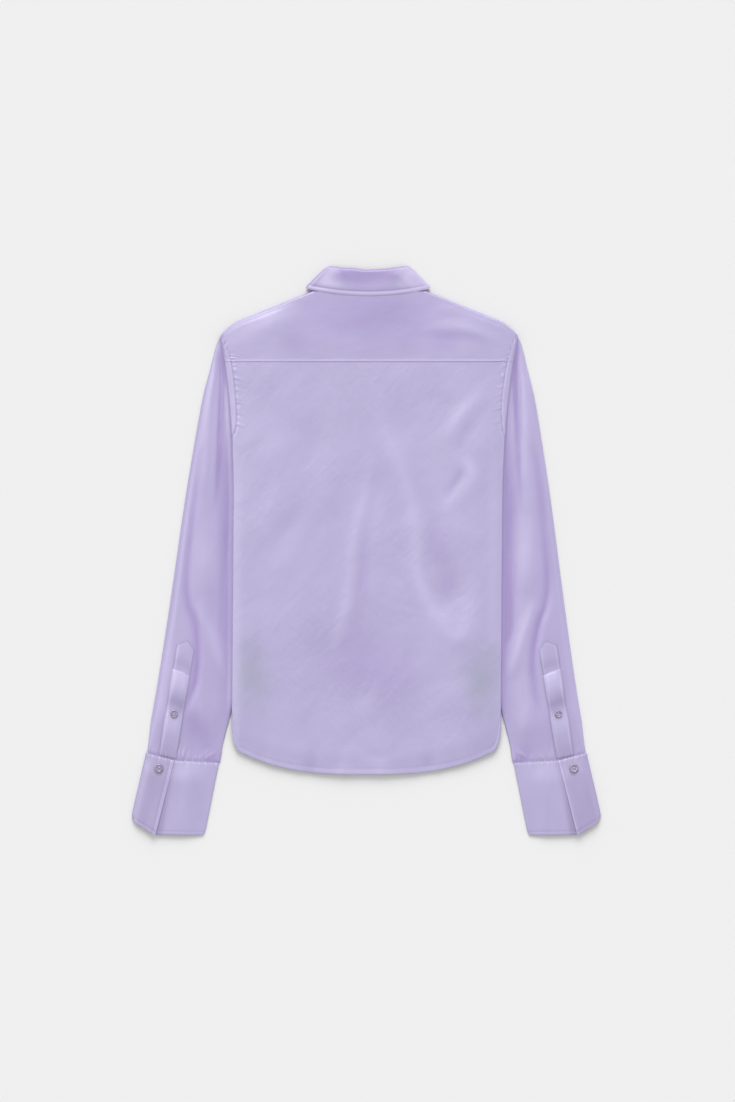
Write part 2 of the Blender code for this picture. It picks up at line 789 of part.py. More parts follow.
def add_buttons(collection, cutters):
    flap_top = 2 * PITCH + WALL + SEAM
    for name, side in SIDES.items():
        x, y = CUFF_BUTTON_AT
        add_button("cuff_button_" + name, CUFF_BUTTON, (side * x, y, flap_top), collection, cutters)
        x, y = PLACKET_BUTTON_AT
        place = (side * x, y, flap_top)
        add_button("placket_button_" + name, PLACKET_BUTTON, place, collection, cutters)
    for i in range(FRONT_BUTTON_COUNT):
        place = (0, FRONT_BUTTON_TOP_Y - FRONT_BUTTON_STEP * i, 0)
        add_button(f"front_button_{i + 1}", FRONT_BUTTON, place, collection, cutters, True)
    place = (0, STAND_BUTTON_Y, 0)
    add_button("stand_button", PLACKET_BUTTON, place, collection, cutters, True)


def main():
    for old in list(bpy.data.objects):
        bpy.data.objects.remove(old, do_unlink=True)
    shirt = bpy.data.collections.new("satin_shirt")
    cutters = bpy.data.collections.new("cutters")
    for collection in (shirt, cutters):
        bpy.context.scene.collection.children.link(collection)
    full_neck = neck_cutter("front_neck_cutter", CUT_LOW, CUT_HIGH, cutters)
    low_neck = neck_cutter("yoke_neck_cutter", CUT_LOW, CUT_BETWEEN, cutters)
    back_neck = back_neck_cutter(CUT_BETWEEN - SEAM, CUT_HIGH, cutters)
    add_cloth("back", back_rows(), "satin", shirt)
    add_fronts(shirt, full_neck)
    add_yoke(shirt, back_neck, low_neck)
    add_collar(shirt)
    add_sleeves(shirt)
    add_cuffs(shirt)
    add_plackets(shirt)
    add_buttons(shirt, cutters)


main()
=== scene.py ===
"""Long-sleeved satin shirt, laid flat with its back up: its cloth, stitching, buttons and studio.

Every piece repeats the form of the fixed solid that it stands for, as a thin shell with creases.
Lengths are in metres, +Y runs from the hem to the collar and +Z up from the floor. The tables of
creases and seams are in millimetres.
"""

from __future__ import annotations

import json
import logging
import math
from dataclasses import dataclass
from enum import Enum
from typing import Any, Callable, Iterable, Optional, Sequence, Union

import bmesh
import bpy
import numpy as np
from mathutils import Matrix, Vector

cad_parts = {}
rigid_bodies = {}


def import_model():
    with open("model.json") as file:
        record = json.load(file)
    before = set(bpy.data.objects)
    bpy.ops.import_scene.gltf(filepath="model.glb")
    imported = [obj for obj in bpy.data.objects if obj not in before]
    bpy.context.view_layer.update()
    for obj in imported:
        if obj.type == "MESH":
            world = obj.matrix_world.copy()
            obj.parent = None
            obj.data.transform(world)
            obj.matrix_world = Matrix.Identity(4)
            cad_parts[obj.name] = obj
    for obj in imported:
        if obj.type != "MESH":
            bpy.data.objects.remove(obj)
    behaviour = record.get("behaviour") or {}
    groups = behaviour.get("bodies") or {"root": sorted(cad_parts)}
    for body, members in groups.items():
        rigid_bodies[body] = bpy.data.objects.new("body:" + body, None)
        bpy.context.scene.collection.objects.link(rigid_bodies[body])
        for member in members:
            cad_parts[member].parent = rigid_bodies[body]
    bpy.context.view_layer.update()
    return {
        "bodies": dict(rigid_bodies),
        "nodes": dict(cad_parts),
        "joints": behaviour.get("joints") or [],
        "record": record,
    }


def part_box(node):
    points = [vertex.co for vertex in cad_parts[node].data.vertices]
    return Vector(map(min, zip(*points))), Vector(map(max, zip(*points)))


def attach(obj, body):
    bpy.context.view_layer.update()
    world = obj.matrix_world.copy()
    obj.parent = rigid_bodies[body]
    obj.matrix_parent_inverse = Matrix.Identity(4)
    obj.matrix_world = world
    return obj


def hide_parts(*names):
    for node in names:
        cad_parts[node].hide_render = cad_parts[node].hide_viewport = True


Array = np.ndarray
Place = Callable[[Array, Array], tuple[Array, Array, Array]]
# Painted light at points of a sheet: painted highlight where positive, painted shade where negative
Sheen = Callable[[Array, Array, Array, Array], Array]
Number = Union[int, float]

MM = 0.001
BODY = "root"
log = logging.getLogger("shirt")


def smooth(value: Array, start: float, end: float) -> Array:
    """Rise from 0 to 1 between two values, level at both.

    Args:
        value: What is read.
        start: Where the rise starts.
        end: Where it ends.

    Returns:
        The share risen, from 0 to 1.
    """
    share = np.clip((value - start) / (end - start), 0.0, 1.0)
    return share * share * (3.0 - 2.0 * share)


def mix(first: Any, second: Any, share: Any) -> Any:
    """Value part of the way between two others."""
    return first + (second - first) * share


def bell(distance: Array, width: float) -> Array:
    """Soft bump, 1 at no distance and about 0 at twice the width."""
    return np.exp(-((distance / width) ** 2))


def curve_through(share: Array, knots: Sequence[float], values: Sequence[float]) -> Array:
    """Read a smooth curve through a column of a table.

    Args:
        share: Where the curve is read.
        knots: Rising positions of the values.
        values: The column's values.

    Returns:
        The curve's values.
    """
    at = np.asarray(knots, float)
    column = np.asarray(values, float)
    slopes = np.gradient(column, at)
    i = np.clip(np.searchsorted(at, share, side="right") - 1, 0, len(at) - 2)
    span = at[i + 1] - at[i]
    t = np.clip((share - at[i]) / span, 0.0, 1.0)
    rise = 3 * t**2 - 2 * t**3
    leave = t**3 - 2 * t**2 + t
    reach = t**3 - t**2
    ends = column[i] * (1 - rise) + column[i + 1] * rise
    return ends + span * (leave * slopes[i] + reach * slopes[i + 1])


# ---------------------------------------------------------------------------------------------
# Form of the shirt as it lies


@dataclass(frozen=True)
class ShirtForm:
    """Lines and layer heights that all pieces share.

    A height is that of a wall's outer face, as seen from outside the shirt.
    """

    wall: float = 0.001
    gap: float = 0.00035
    side: float = 0.1748
    tip_half: float = 0.1927
    tip_y: float = 0.281
    narrow_y: float = 0.060
    tuck: float = 0.047
    tuck_top_y: float = 0.158
    underarm_y: float = 0.065
    yoke_y: float = 0.248
    hem_low_y: float = -0.290
    hem_rise: float = 0.0682
    hem_power: float = 2.85
    corner_wide: float = 0.010
    corner_tall: float = 0.028
    hem_from_y: float = -0.160
    front_inset: float = 0.005
    shoulder_y: float = 0.331
    shoulder_x: float = 0.090
    slope: float = 0.40
    round_x: float = 0.165
    drop: float = 0.009
    yoke_return: float = 0.032
    button_room: float = 0.00255
    lap_limit: float = 0.016

    @property
    def pitch(self) -> float:
        """One wall and the gap to the next."""
        return self.wall + self.gap

    @property
    def roll(self) -> float:
        """Radius of a fold's outer face."""
        return self.wall + self.gap / 2

    def lean(self, y: Array) -> Array:
        """How far the shirt lies aside along X."""
        return 0.0075 * np.maximum(y, -0.200)

    def half(self, y: Array) -> Array:
        """Half width of the body: the armhole above, the rolled side below."""
        rise = np.maximum(0.0, (y - self.narrow_y) / (self.tip_y - self.narrow_y))
        return self.side + (self.tip_half - self.side) * rise**2

    def tuck_at(self, y: Array) -> Array:
        """How much cloth is turned in at the side."""
        share = np.clip((self.tuck_top_y - y) / (self.tuck_top_y - self.underarm_y), 0.0, 1.0)
        return self.tuck * share**1.2

    def shoulder(self, x: Array) -> Array:
        """The shoulder fold's Y."""
        past = np.maximum(0.0, (abs(x) - self.round_x) / (self.tip_half - self.round_x))
        return self.front_seam(x) + self.yoke_return - self.drop * past**2

    def front_seam(self, x: Array) -> Array:
        """Y of the seam between the yoke and a front."""
        return self.shoulder_y - self.slope * (abs(x) - self.shoulder_x) - self.yoke_return

    def hem(self, cut_x: Array) -> Array:
        """The hem's Y by distance from the centre along the cloth, with a rounded corner at the side."""
        corner = np.clip((cut_x - self.side) / self.corner_wide + 1, 0.0, 1.0)
        rise = self.corner_tall * (1 - np.sqrt(1 - 0.98 * corner**2))
        return self.hem_low_y + self.hem_rise * (cut_x / (self.side + self.tuck)) ** self.hem_power + rise

    def hem_slope(self, cut_x: Array) -> Array:
        """How steeply the hem rises there."""
        return (self.hem(cut_x + MM / 2) - self.hem(cut_x)) / (MM / 2)

    def hem_blend(self, y: Array, cut_x: Array) -> Array:
        """Close the lowest rows up towards the hem's curve."""
        share = (self.hem_from_y - y) / (self.hem_from_y - self.hem_low_y)
        return np.where(share < 0, y, mix(self.hem_from_y, self.hem(abs(cut_x)), share))

    def back_face(self, x: Array, y: Array) -> Array:
        """Outer face of the back and the yoke."""
        a = abs(x)
        hollow = mix(0.0047, 0.0050, smooth(y, 0.24, 0.30))
        side = mix(4 * self.pitch, 5 * self.pitch, smooth(y, 0.205, 0.108))
        side = mix(side, 3 * self.pitch, smooth(y, -0.200, -0.285))
        middle = mix(self.button_room + 2 * self.pitch, hollow, smooth(a, 0.018, 0.075))
        return mix(middle, side, smooth(a, 0.058, 0.1275)) + self.wall

    def front_face(self, x: Array, y: Array, lap: int = 0) -> Array:
        """Outer face of a front, which looks down: lap 1 is the outer front, 2 the one inside."""
        a = abs(x)
        ring = np.hypot(x / 0.095, (y - 0.332) / 0.125)
        collar = self.pitch * smooth(ring, 1.35, 1.0)
        armhole = self.pitch * smooth(self.half(y) - a, 0.050, 0.022) * smooth(y, 0.146, 0.172)
        level = np.maximum(collar, armhole)
        if not lap:
            return level
        height = self.button_room + (lap - 1) * self.pitch
        buttons = height * smooth(a, self.lap_limit + 0.045 + 0.014 * lap, self.lap_limit)
        return np.maximum(level, buttons)


FORM = ShirtForm()


class Side(Enum):
    """Which side of the shirt a piece lies on, by the sign of its X."""

    LEFT = -1
    RIGHT = 1

    @property
    def word(self) -> str:
        """The side's name."""
        return self.name.lower()


@dataclass(frozen=True)
class Fold:
    """Soft ridge along a curved line, or a trough where its height is negative. All in millimetres.

    Attributes:
        width: Distance at which the height has fallen to about a third.
        line: X, Y and height of the points that it passes through.
    """

    width: float
    line: tuple[tuple[float, float, float], ...]

    STEPS = 5

    def points(self) -> tuple[Array, Array, Array]:
        """X, Y and height of close points along the line, in metres."""
        knots = np.arange(len(self.line))
        share = np.linspace(0.0, knots[-1], self.STEPS * knots[-1] + 1)
        return tuple(curve_through(share, knots, column) * MM for column in zip(*self.line))

    def rise(self, x: Array, y: Array) -> Array:
        """Height of the fold at points.

        Args:
            x: Points' X.
            y: Points' Y.

        Returns:
            Heights, in metres.
        """
        xs, ys, heights = self.points()
        reach = 2.6 * self.width * MM
        near = (x > xs.min() - reach) & (x < xs.max() + reach)
        near &= (y > ys.min() - reach) & (y < ys.max() + reach)
        out = np.zeros_like(x)
        if not near.any():
            return out
        px, py = x[near][:, None], y[near][:, None]
        dx, dy = np.diff(xs)[None, :], np.diff(ys)[None, :]
        rx, ry = px - xs[None, :-1], py - ys[None, :-1]
        t = np.clip((rx * dx + ry * dy) / (dx * dx + dy * dy), 0.0, 1.0)
        distance = np.hypot(rx - t * dx, ry - t * dy)
        best = distance.argmin(axis=1)
        row = np.arange(len(best))
        height = mix(heights[best], heights[best + 1], t[row, best])
        out[near] = height * bell(distance[row, best], self.width * MM)
        return out


def painted_light_by(painted_marks: Iterable[Fold], folds: Iterable[Fold] = (), share: float = 0.08) -> Sheen:
    """Painted light that follows a table of painted strokes, and a little the folds' heights.

    Args:
        painted_marks: Strokes of painted highlight, and of painted shade where their heights are negative.
        folds: Folds, given a painted highlight on their ridges and painted shade in their troughs.
        share: Painted light for each millimetre of a fold.

    Returns:
        The painted light at points.
    """
    return lambda x, y, u, v: (creased(x, y, painted_marks) + share * creased(x, y, folds)) / MM


def creased(x: Array, y: Array, folds: Iterable[Fold]) -> Array:
    """Sum of the folds at points.

    Args:
        x: Points' X.
        y: Points' Y.
        folds: The folds.

    Returns:
        Heights, in metres.
    """
    total = np.zeros_like(x)
    for fold in folds:
        total += fold.rise(x, y)
    return total


# ---------------------------------------------------------------------------------------------
# Shader expressions


class Value:
    """A shader socket that holds a number, and on which arithmetic adds Math nodes."""

    def __init__(self, tree: "Shading", socket: Any) -> None:
        """Wrap an output socket of the tree."""
        self.tree = tree
        self.socket = socket

    def _math(self, operation: str, *values: Any) -> "Value":
        """Add a Math node on the values."""
        inputs = dict(enumerate(values))
        return self.tree.node("ShaderNodeMath", {"operation": operation}, inputs)

    def __add__(self, other: Any) -> "Value":
        """This plus other."""
        return self._math("ADD", self, other)

    __radd__ = __add__

    def __sub__(self, other: Any) -> "Value":
        """This less other."""
        return self._math("SUBTRACT", self, other)

    def __rsub__(self, other: Any) -> "Value":
        """Other less this."""
        return self._math("SUBTRACT", other, self)

    def __mul__(self, other: Any) -> "Value":
        """This times other."""
        return self._math("MULTIPLY", self, other)

    __rmul__ = __mul__

    def __pow__(self, other: Any) -> "Value":
        """This to a power."""
        return self._math("POWER", self, other)

    def __abs__(self) -> "Value":
        """Size without sign."""
        return self._math("ABSOLUTE", self)

    def step(self, start: float, end: float) -> "Value":
        """Smooth rise from 0 at start to 1 at end."""
        settings = {"interpolation_type": "SMOOTHSTEP", "clamp": True}
        inputs = {"Value": self, "From Min": start, "From Max": end}
        return self.tree.node("ShaderNodeMapRange", settings, inputs)


class Shading:
    """Node tree of one material."""

    def __init__(self, name: str) -> None:
        """Start an empty material of this name."""
        self.material = bpy.data.materials.new(name)
        self.material.use_nodes = True
        self.nodes = self.material.node_tree.nodes
        self.links = self.material.node_tree.links
        self.nodes.clear()

    def node(
        self,
        kind: str,
        settings: Optional[dict[str, Any]] = None,
        inputs: Optional[dict[Any, Any]] = None,
        output: Any = 0,
    ) -> Value:
        """Add a node.

        Args:
            kind: The node's type.
            settings: Its properties, set before its sockets.
            inputs: Values or Value links by socket.
            output: Which output is wanted.

        Returns:
            The output.
        """
        made = self.nodes.new(kind)
        for key, value in (settings or {}).items():
            setattr(made, key, value)
        for key, value in (inputs or {}).items():
            if isinstance(value, Value):
                self.links.new(value.socket, made.inputs[key])
            else:
                made.inputs[key].default_value = value
        return Value(self, made.outputs[output] if made.outputs else None)

    def coordinates(self, output: str = "Object") -> Value:
        """Texture coordinates: Object or UV."""
        return self.node("ShaderNodeTexCoord", output=output)

    def mapped(self, vector: Value, scale: Sequence[float], turn: float = 0.0) -> Value:
        """Vector scaled by axis after a turn about Z."""
        spun = self.node("ShaderNodeMapping", None, {"Vector": vector, "Rotation": (0, 0, turn)})
        return self.node("ShaderNodeVectorMath", {"operation": "MULTIPLY"}, {0: spun, 1: scale})

    def noise(self, vector: Value, scale: float, detail: float = 2.0, rough: float = 0.5) -> Value:
        """Noise from 0 to 1."""
        inputs = {"Vector": vector, "Scale": scale, "Detail": detail, "Roughness": rough}
        return self.node("ShaderNodeTexNoise", None, inputs)

    def colour_mix(self, share: Any, first: Any, second: Any, blend: str = "MIX") -> Value:
        """Colour part of the way between two others."""
        settings = {"data_type": "RGBA", "blend_type": blend, "clamp_factor": True}
        return self.node("ShaderNodeMix", settings, {0: share, 6: first, 7: second}, output=2)

    def bump(self, height: Value, distance: float, strength: float = 1.0) -> Value:
        """Normal bent by a height."""
        inputs = {"Height": height, "Distance": distance, "Strength": strength}
        return self.node("ShaderNodeBump", None, inputs)

    def finish(self, sockets: dict[str, Any]) -> bpy.types.Material:
        """Close the tree with a Principled shader.

        Args:
            sockets: The shader's values and links.

        Returns:
            The material.
        """
        shader = self.node("ShaderNodeBsdfPrincipled", None, sockets)
        self.node("ShaderNodeOutputMaterial", None, {"Surface": shader})
        return self.material


Colour = tuple[float, float, float, float]


def shade(colour: Colour, by: float) -> Colour:
    """Colour made lighter or darker by a factor."""
    return (colour[0] * by, colour[1] * by, colour[2] * by, 1.0)


@dataclass(frozen=True)
class SatinFinish:
    """Satin cloth: a fine weave with a soft sheen, mottled a little where it has been pressed.

    Attributes:
        name: The material's name.
        colour: The dye.
        grain: Turn of the warp about Z.
        rumple: Depth of the soft small rumples, in metres.
        rough: Roughness of the sheen.
        pressed: Whether faint crossing press marks show.
        patches: Centres of greyer patches in the colour.
        shade_tint: What the deepest painted shade multiplies the dye by.
        highlight_lift: What the strongest painted highlight adds to it.
    """

    name: str
    colour: Colour = (0.403, 0.356, 0.590, 1.0)
    grain: float = 0.0
    rumple: float = 0.0005
    rough: float = 0.40
    pressed: bool = False
    patches: tuple[tuple[float, float], ...] = ()
    shade_tint: Colour = (0.77, 0.68, 0.87, 1.0)
    highlight_lift: float = 0.045

    def material(self) -> bpy.types.Material:
        """Build the material."""
        tree = Shading(self.name)
        place = tree.coordinates()
        moved = tree.node("ShaderNodeVectorMath", {"operation": "ADD"}, {0: place, 1: (0.73, 0.41, 0.27)})
        turned = tree.mapped(moved, (1.0, 0.55, 1.0), self.grain)
        mottle = tree.noise(turned, 26.0, 3.0, 0.55)
        soft = tree.noise(turned, 60.0, 2.0)
        threads = tree.node(
            "ShaderNodeTexWave",
            {"wave_type": "BANDS", "bands_direction": "Y"},
            {"Vector": tree.mapped(tree.coordinates("UV"), (1.0, 1.0, 1.0)), "Scale": 520.0,
             "Distortion": 1.5, "Detail": 1.0},
            output="Fac",
        )
        weft = tree.noise(tree.mapped(tree.coordinates("UV"), (90.0, 1400.0, 1.0)), 1.0, 1.0)
        dyed = tree.colour_mix(mottle.step(0.3, 0.7), shade(self.colour, 0.975), shade(self.colour, 1.025))
        woven = tree.colour_mix(weft * 0.25, dyed, shade(self.colour, 0.86))
        for centre in self.patches:
            grey = (0.76 * self.colour[0], 0.84 * self.colour[1], 0.74 * self.colour[2], 1.0)
            woven = tree.colour_mix(self.patch_at(tree, place, centre) * 0.9, woven, grey)
        # Painted light from the sheen channel: below 0.5 the weave is darkened as painted shade, above it is lightened
        # as painted highlight
        painted_level = tree.node("ShaderNodeSeparateXYZ", None, {"Vector": tree.node("ShaderNodeUVMap", {"uv_map": "sheen"})})
        woven = tree.colour_mix((0.5 - painted_level) * 2.0, woven, self.shade_tint, "MULTIPLY")
        woven = tree.colour_mix((painted_level - 0.5) * 2.0, woven, (*(1.04 * part + self.highlight_lift for part in self.colour[:3]), 1.0))
        height = mottle * self.rumple + soft * (0.35 * self.rumple) + threads * 0.000012
        if self.pressed:
            height = height + self.press_marks(tree, moved)
        return tree.finish({
            "Base Color": woven,
            "Roughness": mottle.step(0.2, 0.8) * 0.08 + (self.rough - 0.04),
            "Specular IOR Level": 1.0,
            "Sheen Weight": 0.15,
            "Sheen Roughness": 0.35,
            "Sheen Tint": (0.93, 0.90, 1.0, 1.0),
            "Normal": tree.bump(height, 1.0),
        })

    def patch_at(self, tree: Shading, place: Value, centre: tuple[float, float]) -> Value:
        """Soft uneven oval round a point, 1 at its middle."""
        away = tree.node(
            "ShaderNodeVectorMath",
            {"operation": "SUBTRACT"},
            {0: place, 1: (centre[0], centre[1], 0.0)},
        )
        spread = tree.mapped(away, (1 / 0.030, 1 / 0.046, 0.0))
        length = tree.node("ShaderNodeVectorMath", {"operation": "LENGTH"}, {0: spread}, "Value")
        return (length + tree.noise(place, 45.0, 3.0) * 1.1).step(1.95, 0.45)

    def press_marks(self, tree: Shading, place: Value) -> Value:
        """Faint thin creases that cross each other."""
        marks: Any = 0.0
        for turn, scale in ((0.85, 52.0), (-0.75, 46.0), (-1.05, 38.0), (1.25, 64.0)):
            field = tree.noise(tree.mapped(place, (0.32, 1.0, 1.0), turn), scale, 2.0, 0.55)
            patch = tree.noise(place, 9.0 + scale / 20, 1.0).step(0.38, 0.62)
            thin = abs(field - 0.5).step(0.045, 0.0)
            marks = (thin * 0.000034 + field * 0.0004) * (patch * 0.7 + 0.3) + marks
        return marks


# ---------------------------------------------------------------------------------------------
# Making cloth


@dataclass(frozen=True)
class Cut:
    """Flat cut of a piece.

    Attributes:
        width: Across.
        length: Along.
        area: Flat area, where the cut isn't a rectangle.
    """

    width: float
    length: float
    area: float


class Wardrobe:
    """Makes pieces, dresses them and attaches them to the frame's body."""

    def __init__(self) -> None:
        """Start with no pieces."""
        self.made: list[bpy.types.Object] = []

    @staticmethod
    def sheet(
        across: int, along: int, place: Place, scale: tuple[float, float], sheen: Optional[Sheen] = None
    ) -> bmesh.types.BMesh:
        """Bend a flat grid into a sheet.

        Args:
            across: Faces across.
            along: Faces along.
            place: Where each point goes, by its share across and down.
            scale: Width and length of the flat cloth, for its weave.
            sheen: Painted light at points: painted highlight where positive, painted shade where negative.

        Returns:
            The sheet, whose faces look up where it runs to +X and then to -Y.
        """
        bm = bmesh.new()
        bm.loops.layers.uv.new("weave")
        bmesh.ops.create_grid(bm, x_segments=across, y_segments=along, size=0.5, calc_uvs=True)
        flat = np.array([vert.co for vert in bm.verts])
        u, v = flat[:, 0] + 0.5, 0.5 - flat[:, 1]
        weave = bm.loops.layers.uv["weave"]
        for face in bm.faces:
            for loop in face.loops:
                loop[weave].uv = (loop[weave].uv[0] * scale[0], loop[weave].uv[1] * scale[1])
        x, y, z = place(u, v)
        # The sheen channel carries painted light: 0.5 is plain, less is painted shade, more is painted highlight
        painted_level = np.clip(0.5 + (sheen(x, y, u, v) if sheen else np.zeros_like(x)), 0.0, 1.0)
        layer = bm.loops.layers.uv.new("sheen")
        bm.verts.index_update()
        for face in bm.faces:
            for loop in face.loops:
                loop[layer].uv = (painted_level[loop.vert.index], 0.5)
        x = x + FORM.lean(y)
        for vert, co in zip(bm.verts, np.stack((x, y, z), axis=1)):
            vert.co = co
        return bm

    def cloth(
        self,
        name: str,
        bm: bmesh.types.BMesh,
        material: bpy.types.Material,
        wall: float,
        merge: bool = False,
        flip: bool = False,
    ) -> bpy.types.Object:
        """Make an object of a sheet and give it its thickness, inwards.

        Args:
            name: The piece's name.
            bm: The sheet, which is freed.
            material: Its finish.
            wall: Its thickness.
            merge: Whether its first and last columns are one.
            flip: Whether its faces are turned round.

        Returns:
            The object.
        """
        if merge:
            bmesh.ops.remove_doubles(bm, verts=bm.verts, dist=1e-6)
        if flip:
            bmesh.ops.reverse_faces(bm, faces=bm.faces)
        made = self.object(name, bm, material)
        solid = made.modifiers.new("wall", "SOLIDIFY")
        solid.thickness = wall
        solid.offset = -1
        self.settle(made)
        made.data.set_sharp_from_angle(angle=math.radians(50))
        return made

    def object(self, name: str, bm: bmesh.types.BMesh, material: bpy.types.Material) -> bpy.types.Object:
        """Make a smooth object of a bmesh, which is freed."""
        mesh = bpy.data.meshes.new(name)
        bm.to_mesh(mesh)
        bm.free()
        mesh.shade_smooth()
        mesh.materials.append(material)
        if "weave" in mesh.uv_layers:
            mesh.uv_layers["weave"].active_render = True
        made = bpy.data.objects.new(name, mesh)
        bpy.context.scene.collection.objects.link(made)
        self.made.append(made)
        return made

    @staticmethod
    def settle(made: bpy.types.Object) -> None:
        """Apply an object's modifiers to its mesh."""
        bpy.context.view_layer.update()
        graph = bpy.context.evaluated_depsgraph_get()
        mesh = bpy.data.meshes.new_from_object(made.evaluated_get(graph))
        made.modifiers.clear()
        made.data = mesh

    def carve(self, made: bpy.types.Object, cutter: bmesh.types.BMesh) -> None:
        """Take a shape out of an object.

        Args:
            made: The object.
            cutter: The shape, which is freed.
        """
        mesh = bpy.data.meshes.new("cutter")
        cutter.to_mesh(mesh)
        cutter.free()
        tool = bpy.data.objects.new("cutter", mesh)
        bpy.context.scene.collection.objects.link(tool)
        boolean = made.modifiers.new("cut", "BOOLEAN")
        boolean.object = tool
        boolean.solver = "EXACT"
        self.settle(made)
        bpy.data.objects.remove(tool, do_unlink=True)

    @staticmethod
    def declare(
        made: bpy.types.Object, node: Optional[str], slot: str, cut: Cut, rests_on: Sequence[str] = ()
    ) -> None:
        """Attach a cloth piece to the body, hide the solid that it stands for and log its faces.

        Args:
            made: The piece.
            node: The solid that it stands for, if it has one.
            slot: The record's material slot; not used.
            cut: Its flat cut; not used.
            rests_on: What it lies on; not used.
        """
        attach(made, BODY)
        if node:
            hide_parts(node)
        log.info("%s: %d faces", made.name, len(made.data.polygons))


def rolled(s: Array, half: Array, tuck: Array, radius: float) -> tuple[Array, Array, Array]:
    """Follow cloth from the centre to the side, round its fold and back along the strip turned in.

    Args:
        s: Distance from the centre along the cloth.
        half: Half width at the fold.
        tuck: Cloth past the fold.
        radius: The fold's radius.

    Returns:
        Distance from the centre, depth below the panel and the turn made, in radians.
    """
    full = np.minimum(math.pi, tuck / radius)
    turn = half - radius * np.sin(np.minimum(full, math.pi / 2))
    past = np.maximum(0.0, s - turn)
    angle = np.minimum(past / radius, full)
    rest = past - angle * radius
    reach = np.minimum(s, turn) + radius * np.sin(angle) + rest * np.cos(angle)
    depth = radius * (1 - np.cos(angle)) + rest * np.sin(angle)
    return reach, depth, angle


def side_columns(a: Array, half: Array, tuck: Array, radius: float, flat_share: float) -> Array:
    """Spread columns from the centre to the strip's end, close together round the fold.

    Args:
        a: Share of the columns, from 0 to 1.
        half: Half width at the fold.
        tuck: Cloth past the fold.
        radius: The fold's radius.
        flat_share: Share of the columns on the flat where the strip is whole.

    Returns:
        Distance from the centre along the cloth.
    """
    full = np.minimum(math.pi, tuck / radius)
    turn = half - radius * np.sin(np.minimum(full, math.pi / 2))
    arc = full * radius
    rest = np.maximum(0.0, tuck - arc)
    folded = (1 - flat_share) * np.minimum(1.0, tuck / 0.012)
    first = 1 - folded
    second = first + folded * 0.5
    share = np.minimum(1.0, a / first)
    on_flat = turn * (share + 0.16 * np.sin(math.pi * share))
    on_arc = arc * np.clip((a - first) / np.maximum(1e-9, second - first), 0.0, 1.0)
    on_rest = rest * np.clip((a - second) / np.maximum(1e-9, 1 - second), 0.0, 1.0)
    return on_flat + on_arc + on_rest


# ---------------------------------------------------------------------------------------------
# Body

